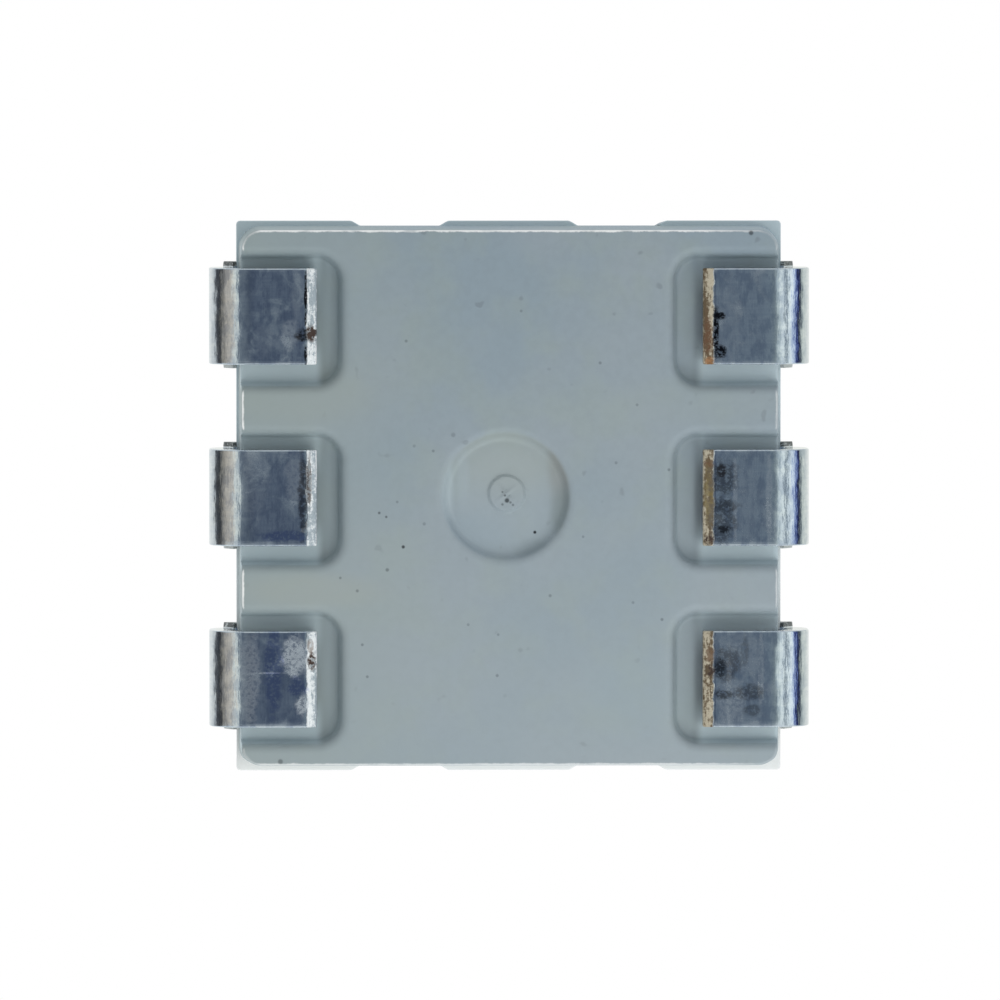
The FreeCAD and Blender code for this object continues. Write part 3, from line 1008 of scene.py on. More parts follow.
# Painted light and shade in the dimple, shown only where the moulding is sunk: painted highlights on its left
# wall, painted shade on its right and lower wall, and warm and blue tints.
dimple_light_and_shade = [
    (508, 448, 60, 44, 0.5, (158, 167, 162)), (560, 466, 12, 36, 0.5, (134, 134, 128)),
    (562, 512, 12, 24, 0.7, (124, 136, 138)), (540, 552, 22, 12, 0.6, (124, 138, 144)),
    (444, 484, 8, 40, 0.5, (172, 187, 194)), (462, 478, 6, 26, 0.3, (164, 178, 186)),
    (470, 534, 40, 22, 0.3, (138, 156, 168)),
]

# Where soft shares begin and where they are full, in millimetres. The rim's painted highlight is read from
# the plateau's outline and its height, the painted reflected light beside the feet from the foot's side, and
# the ledge's painted light from the parting line. The painted light at the inner ends of the pockets is read
# from the axes.
line_inner = (-0.026, -0.010)
line_outer = (0.026, 0.014)
line_height = (0.022, 0.008)
line_swing = 0.03
far_side = (1.6, 2.35)
ledge_height = (0.012, 0.004)
glow_inner = (-0.3, -0.02)
glow_outer = (0.26, 0.16)
glow_deep = (0.01, 0.1)
glow_shallow = (0.1, 0.05)
inner_height = (0.1, 0.2)
inner_reach = (foot_tip - 0.04, foot_tip - 0.12)
inner_side = (2.42, 2.34)


def rim_highlight(finish):
    """Share of the painted highlight: a thin ragged light line along the plateau's edge.

    It is read from the distance to the plateau's round-cornered outline, near the plateau's height. It is
    weaker at the corners and on the sides at +X and +Y.
    """
    past = [finish.highest(finish.minus(finish.size(place), corner), 0.0)
            for place, corner in ((finish.x, corner_x), (finish.y, corner_y))]
    distance = finish.math("SQRT", finish.plus(*[finish.times(value, value) for value in past]))
    distance = finish.plus(finish.minus(distance, plateau_corner),
                           finish.swing(finish.noise(11.0, roughness=0.7), line_swing))
    return finish.times(
        finish.rise(distance, *line_inner), finish.rise(distance, *line_outer),
        finish.rise(finish.minus(finish.z, standoff), *line_height),
        finish.rise(finish.noise(5.0, 2.0, shift=(4, 0, 4)), 0.25, 0.5, 0.55, 1.0),
        finish.rise(finish.times(*past), 0.0, 0.012, 1.0, 0.35),
        finish.rise(finish.x, *far_side, 1.0, 0.35), finish.rise(finish.y, *far_side, 1.0, 0.5))


def ledge(finish):
    """Share of the painted light on the thin ledge at the parting line, which faces down."""
    return finish.rise(finish.size(finish.minus(finish.z, parting_height)), *ledge_height)


def foot_painted_light(finish):
    """Share of the painted reflected light on the strips of each pocket along the bright sides of its foot,
    more so towards +Y.
    """
    strips = 0.0
    for row in (-lead_pitch, 0.0, lead_pitch):
        side = finish.minus(finish.y, row)
        away = finish.minus(finish.size(side), lead_width / 2)
        strips = finish.highest(strips, finish.times(
            finish.rise(away, *glow_inner), finish.rise(away, *glow_outer),
            finish.rise(side, -0.1, 0.1, 0.32, 0.6)))
    return finish.times(
        strips, finish.rise(finish.size(finish.x), foot_tip - 0.08, foot_tip + 0.02),
        finish.rise(finish.minus(finish.z, standoff), *glow_deep),
        finish.rise(finish.minus(finish.z, pocket_floor), *glow_shallow))


def plastic_finish(settings):
    """Grey-blue moulded plastic: soft cloudy colour, fine grain, faint flow and a few dark specks, with
    painted light and shade: lighter towards +Y, a painted highlight along the rim, painted light on the
    ledge, beside the feet and in the pockets, and ovals of painted shade, painted shadow and painted
    highlight.
    """
    finish = Finish("moulded_plastic")
    clouds = finish.rise(finish.noise(0.55, 2.0, shift=(3.1, 1.7, 0)), 0.35, 0.65)
    blotches = finish.rise(finish.noise(1.9, shift=(9.0, 2.0, 4.0)), 0.42, 0.7)
    fine = finish.rise(finish.noise(13.0, 2.0), 0.3, 0.75)
    faint = finish.rise(finish.noise(7.0, 1.0, shift=(5, 5, 5)), 0.72, 0.8)
    below = finish.rise(finish.z, 0.4, 0.35)
    sunk = finish.times(below, finish.rise(finish.z, standoff + 0.004, standoff + 0.04))
    # Painted light on the floors and walls of the pockets past the tips of the feet.
    inner = finish.times(
        below, finish.rise(finish.z, *inner_height), finish.rise(finish.size(finish.x), *inner_reach),
        finish.rise(finish.size(finish.y), *inner_side))
    # Painted light on the ledge, lighter towards +Y.
    thin = finish.mix(finish.rise(finish.y, -1.5, 2.4), settings.pale_painted_light, settings.edge_highlight)

    layers = [
        (finish.times(blotches, 0.5), settings.plastic_warm),
        (finish.times(fine, 0.1), grain_colour),
        (finish.times(faint, 0.35), faint_colour),
        # Painted light: the moulding grows lighter towards +Y.
        (finish.rise(finish.y, -2.6, 2.6, 0.0, 0.36), settings.painted_light_tint),
        (finish.rise(finish.x, -0.4, -2.4, 0.0, 0.6), settings.plastic_green)]
    # Ovals of painted shade, painted shadow and painted highlight, and lighter tints, on the underside and in
    # the dimple.
    for group, where in ((painted_shade_and_tints, below), (dimple_light_and_shade, sunk)):
        for x, y, half_x, half_y, strength, tint in group:
            oval = finish.spot(x, y, half_x, half_y, 0.5)
            layers.append((finish.times(oval, strength, where), paint(*tint)))
    # Painted highlight along the rim, painted light on the ledge, painted reflected light beside the feet and
    # painted light at the inner ends of the pockets.
    layers += [
        (rim_highlight(finish), settings.edge_highlight), (finish.times(ledge(finish), 0.75), thin),
        (foot_painted_light(finish), settings.pale_painted_light), (finish.times(inner, 0.1), settings.pale_painted_light)]
    lower_half = finish.rise(finish.z, 0.55, 0.5)
    for x, y, radius, strength in specks:
        dot = finish.spot(x, y, radius, radius, 0.45)
        layers.append((finish.times(dot, strength, lower_half), speck_colour))
    colour = finish.mix(clouds, settings.plastic_colour, settings.plastic_tint)
    for share, layer in layers:
        colour = finish.mix(share, colour, layer)

    grain = finish.noise(42.0, 2.0, shift=(1, 2, 3))
    flow = finish.bump(finish.noise(3.0, 2.0, shift=(7, 1, 2)), 0.5, 0.006)
    finish.set(Base_Color=colour, Roughness=finish.rise(grain, 0.3, 0.7, 0.42, 0.55), Specular_IOR_Level=0.4,
               Normal=finish.bump(grain, 0.5, 0.0012, flow))
    return finish.material


# Finish of the leads

dark_stain = paint(44, 44, 48)
brown_stain = paint(70, 54, 46)
smoke_stain = paint(96, 94, 96)
copper_stain = paint(170, 124, 84)
rust_stain = paint(112, 84, 62)
olive_stain = paint(128, 114, 74)
haze_mark = paint(206, 214, 220)
navy_mark = paint(168, 178, 208)
dark_burr = paint(60, 64, 62)
pale_burr = paint(190, 196, 194)
left_tip_colours = (paint(176, 187, 193), paint(250, 253, 253))
right_tip_colours = (paint(112, 96, 74), paint(204, 194, 172))

# Marks of each lead in the picture: x, y, half width, half height, strength, colour, dullness
lead_marks = {
    1: [(289, 333, 9, 15, 0.7, haze_mark, 0.22), (296, 296, 6, 20, 0.6, haze_mark, 0.12),
        (262, 340, 10, 16, 0.4, haze_mark, 0.12), (304, 334, 10, 7, 1.0, smoke_stain, 0.0),
        (310, 332, 5, 8, 1.0, brown_stain, 0.5), (304.5, 295, 1.6, 28, 1.0, dark_stain, 0.0),
        (304.5, 353, 1.6, 12, 1.0, dark_stain, 0.0)],
    2: [(294, 478, 10, 24, 0.7, haze_mark, 0.16), (252, 478, 14, 40, 0.4, haze_mark, 0.12),
        (305, 529, 6, 3, 0.9, haze_mark, 0.3), (302, 494, 5, 42, 0.8, smoke_stain, 0.0),
        (283, 535, 24, 5, 1.0, navy_mark, 0.0), (308, 482, 2.0, 30, 0.8, brown_stain, 0.3)],
    3: [(294, 655, 12, 19, 1.0, haze_mark, 0.42), (248, 676, 10, 46, 0.7, haze_mark, 0.24),
        (301, 703, 7, 11, 0.9, haze_mark, 0.5), (265, 672, 18, 1.0, 0.8, haze_mark, 0.4),
        (272, 668, 9, 44, 1.0, navy_mark, 0.0), (296, 687, 9, 10, 1.0, navy_mark, 0.0),
        (311, 661, 4.2, 10, 1.0, brown_stain, 0.5), (309, 645, 3, 8, 0.6, rust_stain, 0.4)],
    4: [(728, 690, 3, 44, 0.8, haze_mark, 0.25), (760, 672, 3, 40, 0.6, haze_mark, 0.2),
        (730, 700, 14, 26, 0.6, haze_mark, 0.2), (742, 655, 20, 20, 0.5, haze_mark, 0.16),
        (709, 654, 5, 8, 0.8, rust_stain, 0.5), (709, 671, 5, 7, 1.0, brown_stain, 0.5),
        (726, 664, 14, 17, 0.6, smoke_stain, 0.0), (719, 668, 6, 9, 0.7, dark_stain, 0.0),
        (722, 694, 9, 5, 0.7, dark_stain, 0.0), (748, 692, 14, 8, 0.6, smoke_stain, 0.0),
        (752, 710, 10, 6, 0.5, smoke_stain, 0.0), (744, 650, 4, 16, 0.4, smoke_stain, 0.0)],
    5: [(734, 500, 2.5, 44, 0.7, haze_mark, 0.2), (768, 500, 3, 46, 0.6, haze_mark, 0.2),
        (746, 500, 12, 40, 0.4, haze_mark, 0.1), (708, 463, 5, 4, 0.9, rust_stain, 0.5),
        (708, 497, 5, 30, 0.85, olive_stain, 0.5), (708, 540, 5, 6, 1.0, brown_stain, 0.5),
        (722, 478, 14, 18, 0.65, smoke_stain, 0.0), (721, 520, 14, 22, 0.6, smoke_stain, 0.0),
        (727, 505, 12, 6, 0.5, smoke_stain, 0.0), (720, 470, 5, 7, 0.7, brown_stain, 0.0),
        (722, 528, 7, 4, 0.8, dark_stain, 0.0)],
    6: [(728, 318, 12, 44, 0.4, haze_mark, 0.12), (707, 334, 5, 21, 1.0, rust_stain, 0.5),
        (708, 360, 5, 4.5, 0.9, copper_stain, 0.5), (714.5, 331, 3.2, 23, 1.0, dark_stain, 0.0),
        (717.5, 315, 6, 4, 1.0, dark_stain, 0.0), (719.5, 350, 5.5, 6, 1.0, dark_stain, 0.0)],
}

# Heights between which the foot, its marks, its tip and the stubs are told from the rest of a lead
foot_heights = (0.3, 0.1)
mark_heights = (0.15, 0.1)
tip_heights = (0.12, 0.1)
stub_heights = (parting_height - 0.1, parting_height - 0.05)


def lead_finish(name, settings, row, tip_colours, marks):
    """Bright plating on a lead: rolled lines, hazy rubbed patches, scratched bend, sheared tip and stains.

    row is the middle of the lead along Y. Dull stains are rougher and less metallic than the plating.
    """
    finish = Finish(name)
    rolled = finish.noise(9.0, stretch=(0.25, 3.0, 1.0))
    rubbed = finish.noise(3.2, 4.0, shift=(2, 6, 1), roughness=0.65, distortion=0.6)
    smudge = finish.noise(7.0, 4.0, stretch=(1.6, 0.8, 1.0), shift=(8, 3, row), roughness=0.7)
    streaks = finish.noise(16.0, stretch=(1.0, 0.12, 1.0), roughness=0.7)
    speckle = finish.noise(55.0, 2.0, shift=(4, 4, 4), roughness=0.7)
    coarse = finish.noise(9.0, 2.0, shift=(1, 1, 8))
    fine = finish.noise(26.0, shift=(3, 7, 2), roughness=0.7)
    wander = finish.noise(3.5, 2.0, stretch=(0.5, 1.0, 1.0), shift=(6, 2, 5))

    reach = finish.size(finish.x)
    at_stub = finish.rise(finish.z, *stub_heights)
    bend = finish.rise(reach, lead_face - 0.36, lead_face - 0.24)
    inside = finish.times(finish.rise(reach, neck_end + 0.3, neck_end + 0.2), at_stub)
    tip = finish.times(finish.rise(finish.z, *tip_heights), finish.rise(
        finish.plus(reach, finish.swing(coarse, 0.05)), foot_tip + 0.105, foot_tip + 0.085))
    past_side = finish.minus(finish.size(finish.minus(finish.y, row)), lead_width / 2)
    burr = finish.times(finish.rise(past_side, 0.004, 0.012), at_stub)

    colour = finish.mix(finish.rise(rolled, 0.3, 0.7), settings.plating_colour, settings.plating_shade)
    smudged = finish.times(finish.rise(smudge, 0.42, 0.62), finish.rise(finish.z, *foot_heights, 0.12, 1.0))
    colour = finish.mix(smudged, colour, settings.smudge_colour)
    sheared = finish.plus(finish.times(streaks, 0.6), finish.times(fine, 0.4))
    colour = finish.mix(tip, colour, finish.mix(finish.rise(sheared, 0.44, 0.54), *tip_colours))
    dull = 0.0
    wobble = finish.plus(finish.swing(coarse, 1.3), finish.swing(fine, 1.6))
    patchy = finish.times(finish.rise(finish.z, *mark_heights), finish.rise(fine, 0.42, 0.5, 0.35, 1.0))
    for x, y, half_x, half_y, strength, mark_colour, dullness in marks:
        share = finish.times(finish.spot(x, y, half_x, half_y, 0.24, wobble), strength, patchy)
        colour = finish.mix(share, colour, mark_colour)
        dull = finish.highest(dull, finish.times(share, dullness))
    burr_share = finish.highest(
        finish.rise(finish.y, row - 0.1, row + 0.1, 0.0, 0.8), finish.rise(fine, 0.5, 0.65))
    colour = finish.mix(finish.times(burr, 0.9), colour, finish.mix(burr_share, dark_burr, pale_burr))
    colour = finish.mix(inside, colour, settings.finger_colour)
    dull = finish.highest(dull, burr)

    hazy = finish.times(finish.rise(rubbed, 0.48, 0.68), finish.rise(finish.z, *foot_heights, 0.5, 1.0))
    rough = finish.plus(settings.plating_roughness, finish.times(hazy, 0.16))
    rough = finish.times(rough, finish.minus(1.0, finish.times(bend, 0.6)))
    rough = finish.plus(rough, *[finish.times(part, 0.3) for part in (tip, dull, inside)])
    metal = finish.minus(1.0, finish.times(dull, 0.75))
    less_metal = finish.plus(finish.times(tip, 0.6), finish.times(inside, 0.5))
    metal = finish.times(metal, finish.minus(1.0, less_metal))

    normal = finish.bump(rolled, 0.2, 0.003)
    normal = finish.bump(finish.swing(streaks, finish.plus(bend, 0.1)), 1.0, 0.003, normal)
    normal = finish.bump(finish.swing(fine, bend), 1.0, 0.0016, normal)
    normal = finish.bump(finish.swing(wander, bend), 1.0, 0.02, normal)
    normal = finish.bump(finish.times(speckle, tip), 0.8, 0.012, normal)
    finish.set(Base_Color=colour, Roughness=rough, Normal=normal, Metallic=metal)
    return finish.material


# Finishes of the inner pieces

gold_shade = paint(214, 158, 70)
attach_shade = paint(140, 140, 138)
die_shade = 0.72
resin_colour = (0.97, 0.98, 0.97)


def simple_finish(name, colour, shade, scale, roughness, metallic, depth):
    """Plain finish of the small inner pieces: two close colours, uneven gloss and a fine bump."""
    finish = Finish(name)
    pattern = finish.noise(scale)
    grain = finish.noise(scale * 4, 2.0, shift=(3, 3, 3))
    finish.set(Base_Color=finish.mix(finish.rise(pattern, 0.35, 0.65), colour, shade), Metallic=metallic,
               Roughness=finish.rise(grain, 0.3, 0.7, *roughness), Normal=finish.bump(grain, 0.5, depth))
    return finish.material


def clear_finish(name, colour, roughness, refraction):
    """Clear resin: it refracts what the camera sees through it, and lets light fall straight through."""
    finish = Finish(name)
    finish.set(Base_Color=opaque(colour), Normal=finish.bump(finish.noise(1.3, 2.0), 0.4, 0.01),
               Roughness=roughness, IOR=refraction, Transmission_Weight=1.0)
    path = finish.add("LightPath").outputs
    light = finish.highest(path["Is Shadow Ray"], path["Is Diffuse Ray"])
    open_shader = finish.add("BsdfTransparent").outputs[0]
    finish.show(finish.blend(light, finish.shader.outputs[0], open_shader))
    return finish.material


# Settings that a user would change

def colour_setting(name, description, colour):
    """Colour property whose default is given as a display colour."""
    return bpy.props.FloatVectorProperty(
        name=name, description=description, subtype="COLOR", size=3, min=0, max=1, default=paint(*colour))


def length_setting(name, description, millimetres):
    """Length property in metres whose default is given in millimetres."""
    return bpy.props.FloatProperty(
        name=name, description=description, default=millimetres * MM, min=0, unit="LENGTH", precision=6)


def share_setting(name, description, value, highest=1.0):
    """Plain share."""
    return bpy.props.FloatProperty(
        name=name, description=description, default=value, min=0, max=highest, subtype="FACTOR")


class HousingSettings(bpy.types.PropertyGroup):
    """Size, colours and painted light of the moulded housing."""
    mouth_radius: length_setting("Mouth radius", "Rounding of the mouths of the pockets", 0.09)
    plastic_colour: colour_setting("Plastic", "Main colour of the moulding", (147, 160, 168))
    plastic_tint: colour_setting("Cloudy tint", "Second colour in the soft clouds", (140, 156, 166))
    plastic_warm: colour_setting("Warm tint", "Third colour in the smaller blotches", (148, 162, 160))
    # Painted light: the colour that the moulding nears towards +Y, where it is lit more.
    painted_light_tint: colour_setting("Pale tint", "Colour that the moulding nears towards +Y", (166, 177, 180))
    plastic_green: colour_setting("Side tint", "Colour that the moulding nears towards -X", (150, 163, 162))
    # Painted light: the colour of the ledge's painted light towards -Y, of the painted reflected light beside
    # the feet and of the painted light at the inner ends of the pockets.
    pale_painted_light: colour_setting("Pale edge", "Moulding at the thin ledge and beside the feet", (208, 226, 232))
    # Painted highlight along the plateau's edge; towards +Y it also colours the ledge's painted light.
    edge_highlight: colour_setting("Edge line", "Thin light line along the edge of the plateau", (250, 252, 250))


class LeadSettings(bpy.types.PropertyGroup):
    """Colours and gloss of the six leads."""
    plating_colour: colour_setting("Plating", "Bright plating", (236, 238, 240))
    plating_shade: colour_setting("Plating shade", "Plating between the rolled lines", (222, 226, 232))
    smudge_colour: colour_setting("Smudges", "Plating in its darker smudges", (198, 204, 215))
    finger_colour: colour_setting("Fingers", "Satin plating of the fingers in the cup", (168, 171, 175))
    plating_roughness: share_setting("Roughness", "Roughness of the clean plating", 0.1)


class InsideSettings(bpy.types.PropertyGroup):
    """Colours of the pieces inside the cup, and the filling."""
    green_colour: colour_setting("Green die", "Colour of the green die", (150, 190, 150))
    red_colour: colour_setting("Red die", "Colour of the red die", (96, 60, 52))
    blue_colour: colour_setting("Blue die", "Colour of the blue die", (150, 176, 205))
    gold_colour: colour_setting("Gold", "Bond wires and pads", (244, 196, 98))
    attach_colour: colour_setting("Die attach", "Silver-filled adhesive", (176, 176, 172))
    filling_refraction: bpy.props.FloatProperty(
        name="Refraction", description="Refraction of the clear filling", default=1.41, min=1, max=2)


class StageSettings(bpy.types.PropertyGroup):
    """Light, floor and camera."""
    key_level: share_setting("Key", "Light from the large soft lamp below", 0.58, 4)
    fill_level: share_setting("Soft fill", "Even light from all around", 0.32, 4)
    top_level: share_setting("Upper light", "Light from the soft lamps above", 0.4, 4)
    floor_colour: colour_setting("Floor", "Colour of the pale floor", (238, 239, 240))
    floor_gap: length_setting("Floor gap", "How far the floor lies under the feet", 0.02)


# Building the pieces

class LED_OT_housing(bpy.types.Operator):
    """Moulded housing with its pockets, gate dimple, notches, cup and cut corner"""
    bl_idname = "led.housing"
    bl_label = "Housing"

    def execute(self, context):
        housing = put_mesh("moulded_housing", *housing_mesh())
        dress(housing, ["housing"], plastic_finish(context.scene.led_housing))
        return {"FINISHED"}


class LED_OT_leads(bpy.types.Operator):
    """Six plated leads, each with its foot, bends, stubs and inner finger"""
    bl_idname = "led.leads"
    bl_label = "Leads"

    def execute(self, context):
        steps = [-1, 0, 1]
        places = [(-1, step) for step in steps] + [(1, step) for step in reversed(steps)]
        for number, (side, step) in enumerate(places, start=1):
            lead = put_mesh(f"plated_lead_{number}", *lead_mesh(side, step))
            tips = right_tip_colours if side > 0 else left_tip_colours
            finish = lead_finish(
                f"plating_{number}", context.scene.led_leads, step * lead_pitch, tips, lead_marks[number])
            dress(lead, [f"lead_{number}"], finish)
        return {"FINISHED"}


class LED_OT_dies(bpy.types.Operator):
    """Three dies with their contact pads, on their die attach"""
    bl_idname = "led.dies"
    bl_label = "Dies"

    def execute(self, context):
        settings = context.scene.led_inside
        gold = simple_finish("gold", settings.gold_colour, gold_shade, 30, (0.18, 0.32), 1.0, 0.0005)
        adhesive = simple_finish(
            "silver_adhesive", settings.attach_colour, attach_shade, 40, (0.4, 0.6), 0.6, 0.003)
        base = frame_top + attach_height
        for name, (length, width, height), y in dies:
            die = put_mesh(f"{name}_chip", *die_mesh(y, length, width, height))
            colour = getattr(settings, f"{name}_colour")
            shade = tuple(die_shade * part for part in colour)
            finish = simple_finish(f"{name}_die", colour, shade, 18, (0.12, 0.3), 0.25, 0.0006)
            dress(die, [f"{name}_die"], finish)
            across = [0.0] if name == "red" else [bond_inset - length / 2, length / 2 - bond_inset]
            pads = [stack_mesh((x, y, base + height), pad_radius, pad_radius, pad_radius, pad_levels)
                    for x in across]
            dress(put_mesh(f"{name}_contact_pads", *joined(pads)), [], gold)
            spread = stack_mesh((0, y, frame_top), length / 2 + attach_spread, width / 2 + attach_spread,
                                attach_corner, attach_levels)
            dress(put_mesh(f"{name}_adhesive", *spread), [f"{name}_die_attach"], adhesive)
        return {"FINISHED"}


class LED_OT_wires(bpy.types.Operator):
    """Five gold bond wires, each with its ball, loop and stitch"""
    bl_idname = "led.wires"
    bl_label = "Bond wires"

    def execute(self, context):
        gold = bpy.data.materials["gold"]
        for name, (length, _, height), y in dies:
            top = frame_top + attach_height + height + pad_height - ball_sink
            sides = [(1, "bond_wire")] if name == "red" else [(1, "bond_wire"), (-1, "return_wire")]
            for side, node in sides:
                start_x = 0 if name == "red" else side * (length / 2 - bond_inset)
                end_x = short_finger_end + wire_landing if side > 0 else -length / 2 - wire_landing
                wire = wire_mesh((start_x, y, top), (end_x, y, frame_top + stitch_lift))
                piece = put_mesh(f"{name}_{node.replace('wire', 'gold_wire')}", *wire)
                dress(piece, [f"{name}_{node}"], gold)
        return {"FINISHED"}


class LED_OT_filling(bpy.types.Operator):
    """Clear filling of the cup"""
    bl_idname = "led.filling"
    bl_label = "Filling"

    def execute(self, context):
        finish = clear_finish(
            "clear_resin", resin_colour, 0.02, context.scene.led_inside.filling_refraction)
        dress(put_mesh("clear_filling", *filling_mesh()), ["encapsulant"], finish)
        return {"FINISHED"}


# Stage

# What the metal mirrors, by the angle from straight down towards +X, in degrees, as display colours
mirrored_room = [
    (-180, (238, 242, 241)), (-140, (226, 231, 230)), (-122, (206, 212, 212)), (-112, (92, 96, 100)),
    (-94, (58, 60, 62)), (-86, (126, 125, 119)), (-69, (178, 174, 165)), (-50, (200, 197, 188)),
    (-43, (222, 227, 220)), (-36, (212, 222, 220)), (-29, (128, 140, 148)), (-22, (104, 116, 127)),
    (-12, (98, 110, 122)), (-3, (80, 92, 106)), (0.7, (73, 85, 105)), (2.0, (108, 123, 136)),
    (13, (114, 129, 138)), (19, (134, 148, 153)), (26, (190, 205, 206)), (36, (230, 242, 242)),
    (42, (228, 240, 241)), (48, (146, 160, 166)), (51, (142, 156, 163)), (57, (222, 236, 240)),
    (64, (244, 255, 255)), (72, (222, 238, 252)), (80, (130, 150, 198)), (88, (50, 62, 118)),
    (94, (30, 36, 62)), (101, (104, 115, 120)), (112, (204, 214, 208)), (150, (236, 239, 235)),
]

# Its walls at -Y and +Y, how far a direction leans to them before they take over, and how much brighter
# the one at +Y is and where
side_walls = (196, 206, 210)
side_lean = (0.22, 0.45)
bright_level = 1.3
bright_lean = (0.25, 0.6)

# Soft light on the part: its colour, and what is added to it from above and from the sides
soft_colour = (252, 253, 255)
above_extra = 0.45
side_extra = 0.45

# Lamps: name, place in metres, side in metres, setting for the level, share of it, and display colour
lamps = [
    ("key_lamp", (0.0075, 0.0125, -0.02), 0.024, "key_level", 1.0, (255, 253, 250)),
    ("left_lamp", (-0.09, 0.05, 0.08), 0.09, "top_level", 1.0, (255, 254, 252)),
    ("right_lamp", (0.08, -0.1, 0.09), 0.07, "top_level", 0.6, (250, 252, 255)),
]
floor_half = 0.3
floor_roughness = 0.7

# Camera: sensor width and lens in millimetres, distance in metres, aim in millimetres, tilt in degrees
sensor = 36.0
camera_distance = 0.12
focal_length = pixels_per_mm * sensor / IMAGE_SIDE * camera_distance / MM
camera_aim = (-0.0925, 0.0175)
camera_tilt = (1.3, 2.3)


def surroundings(settings):
    """World: plain white for the camera, soft light all round, and what the metal mirrors.

    The mirrored room is read by the angle of a direction about the body's Y axis, from straight down: dark
    under the camera side, a soft lamp and deep blue towards +X, a beige card towards -X, and white above.
    """
    world = bpy.data.worlds.new("surroundings")
    bpy.context.scene.world = world
    world.use_nodes = True
    room = Nodes(world.node_tree, "OutputWorld")
    x, y, z = room.add("SeparateXYZ", {0: room.add("TexCoord").outputs["Generated"]}).outputs
    angle = room.math("ARCTAN2", x, room.times(z, -1.0))
    turn = room.add("ValToRGB", {0: room.plus(room.math("DIVIDE", angle, 2 * math.pi), 0.5)})
    stops = turn.color_ramp.elements
    while len(stops) > 1:
        stops.remove(stops[-1])
    for number, (degrees, colour) in enumerate(mirrored_room):
        place = degrees / 360 + 0.5
        stop = stops.new(place) if number else stops[0]
        stop.position = place
        stop.color = opaque(paint(*colour))
    mirrored = room.mix(room.rise(room.size(y), *side_lean), turn.outputs[0], paint(*side_walls))
    mirrored_level = room.rise(y, *bright_lean, 1.0, bright_level)
    above = room.times(room.plus(room.times(z, 0.5), 0.5), above_extra)
    sideways = room.times(room.minus(1.0, room.times(z, z)), side_extra)
    soft_level = room.plus(above, sideways, settings.fill_level)

    def glow(colour, level):
        return room.add("Background", {0: colour, 1: level}).outputs[0]

    path = room.add("LightPath").outputs
    light = room.blend(path["Is Glossy Ray"], glow(opaque(paint(*soft_colour)), soft_level),
                       glow(mirrored, mirrored_level))
    seen = room.highest(path["Is Camera Ray"], path["Is Transmission Ray"])
    room.join(room.blend(seen, light, glow((1, 1, 1, 1), 1.0)), room.output.inputs[0])


def soft_lamp(name, place, side, level, colour):
    """Large plain lamp that faces the part. Its power gives the asked level at the part's middle."""
    light = bpy.data.lights.new(name, "AREA")
    light.size = side
    light.energy = level * math.pi ** 2 * sum(part * part for part in place)
    light.color = paint(*colour)
    lamp = link_object(name, light)
    lamp.location = place
    lamp.rotation_euler = (-lamp.location).to_track_quat("-Z", "Y").to_euler()
    lamp.visible_camera = False
    lamp.visible_glossy = False


def pale_floor(settings):
    """Pale floor that is seen only from above, so that the camera below looks past it."""
    mesh = bpy.data.meshes.new("floor")
    mesh.from_pydata([(x * floor_half, y * floor_half, -settings.floor_gap)
                      for x, y in ((-1, -1), (1, -1), (1, 1), (-1, 1))], [], [(0, 1, 2, 3)])
    link_object("floor", mesh)
    finish = Finish("pale_floor")
    finish.set(Base_Color=opaque(settings.floor_colour), Roughness=floor_roughness)
    front = finish.minus(1.0, finish.add("NewGeometry").outputs["Backfacing"])
    shown = finish.times(finish.add("LightPath").outputs["Is Camera Ray"], front)
    open_shader = finish.add("BsdfTransparent").outputs[0]
    finish.show(finish.blend(shown, open_shader, finish.shader.outputs[0]))
    mesh.materials.append(finish.material)


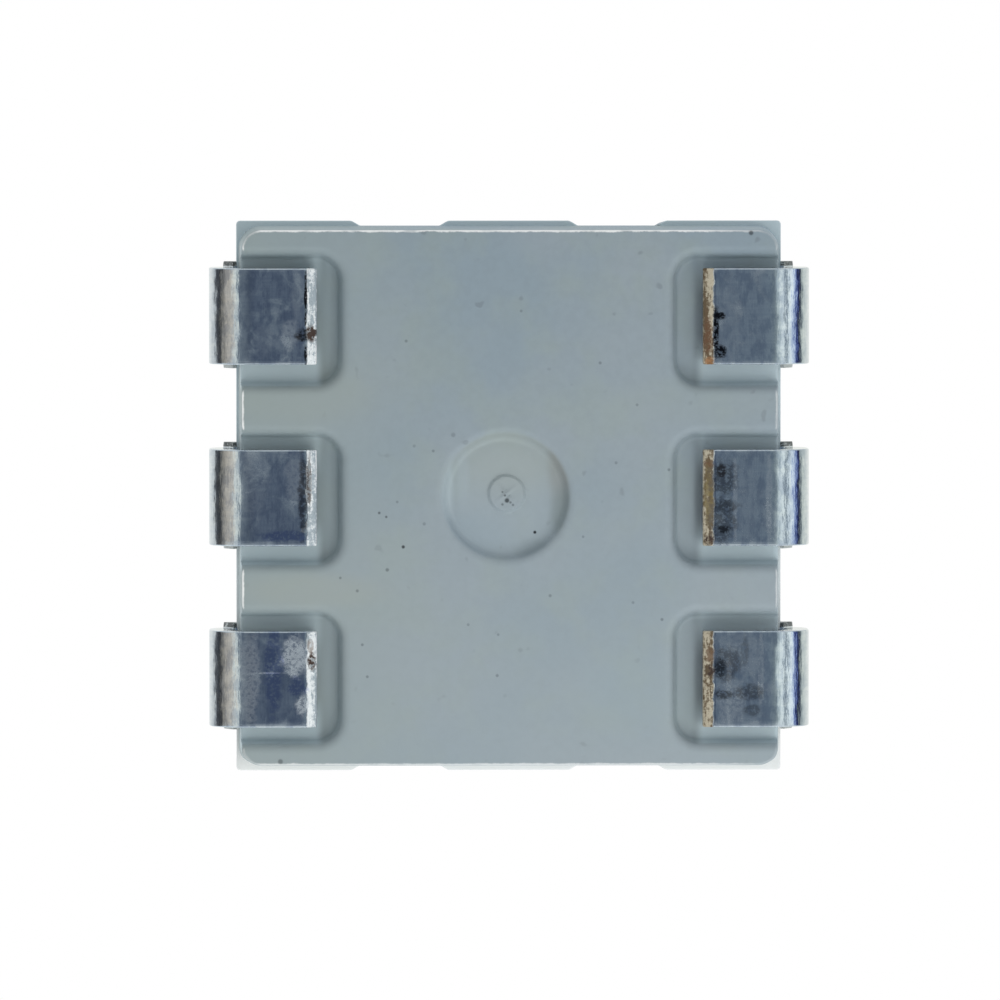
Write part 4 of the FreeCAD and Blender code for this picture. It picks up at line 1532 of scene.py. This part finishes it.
def low_camera():
    """Long lens under the part, looking up at the feet, with -Y at the top of the picture."""
    data = bpy.data.cameras.new("camera")
    data.sensor_width = sensor
    data.lens = focal_length
    data.clip_start = 0.01
    data.clip_end = 2
    camera = link_object("camera", data)
    tilt_x, tilt_y = np.radians(camera_tilt)
    back = np.array([-math.tan(tilt_x), -math.tan(tilt_y), -1.0])
    back /= np.linalg.norm(back)
    camera.location = np.array([*camera_aim, 0]) * MM + back * camera_distance
    right = np.cross([0, -1, 0], back)
    right /= np.linalg.norm(right)
    upward = np.cross(back, right)
    camera.rotation_euler = Matrix(np.stack([right, upward, back], axis=1).tolist()).to_euler()
    bpy.context.scene.camera = camera


class LED_OT_stage(bpy.types.Operator):
    """Surroundings, lamps, floor and camera"""
    bl_idname = "led.stage"
    bl_label = "Stage"

    def execute(self, context):
        settings = context.scene.led_stage
        surroundings(settings)
        for name, place, side, level, share, colour in lamps:
            soft_lamp(name, place, side, getattr(settings, level) * share, colour)
        pale_floor(settings)
        low_camera()
        return {"FINISHED"}


class LED_PT_looks(bpy.types.Panel):
    """Looks of the LED"""
    bl_idname = "LED_PT_looks"
    bl_label = "Surface-mount LED"
    bl_space_type = "VIEW_3D"
    bl_region_type = "UI"
    bl_category = "LED"

    def draw(self, context):
        for settings in settings_groups:
            group = getattr(context.scene, settings)
            for name in group.bl_rna.properties.keys():
                if name not in ("rna_type", "name"):
                    self.layout.prop(group, name)
        for operator in operators:
            self.layout.operator(operator.bl_idname)


operators = [LED_OT_housing, LED_OT_leads, LED_OT_dies, LED_OT_wires, LED_OT_filling, LED_OT_stage]
settings_groups = {
    "led_housing": HousingSettings, "led_leads": LeadSettings, "led_inside": InsideSettings,
    "led_stage": StageSettings,
}


def register():
    for name, group in settings_groups.items():
        bpy.utils.register_class(group)
        setattr(bpy.types.Scene, name, bpy.props.PointerProperty(type=group))
    for piece in [*operators, LED_PT_looks]:
        bpy.utils.register_class(piece)


def unregister():
    for piece in [LED_PT_looks, *reversed(operators)]:
        bpy.utils.unregister_class(piece)
    for name, group in reversed(settings_groups.items()):
        delattr(bpy.types.Scene, name)
        bpy.utils.unregister_class(group)


def main():
    register()
    bpy.context.scene.view_settings.view_transform = "Standard"
    bpy.ops.led.housing()
    bpy.ops.led.leads()
    bpy.ops.led.dies()
    bpy.ops.led.wires()
    bpy.ops.led.filling()
    bpy.ops.led.stage()


if __name__ == "__main__":
    main()
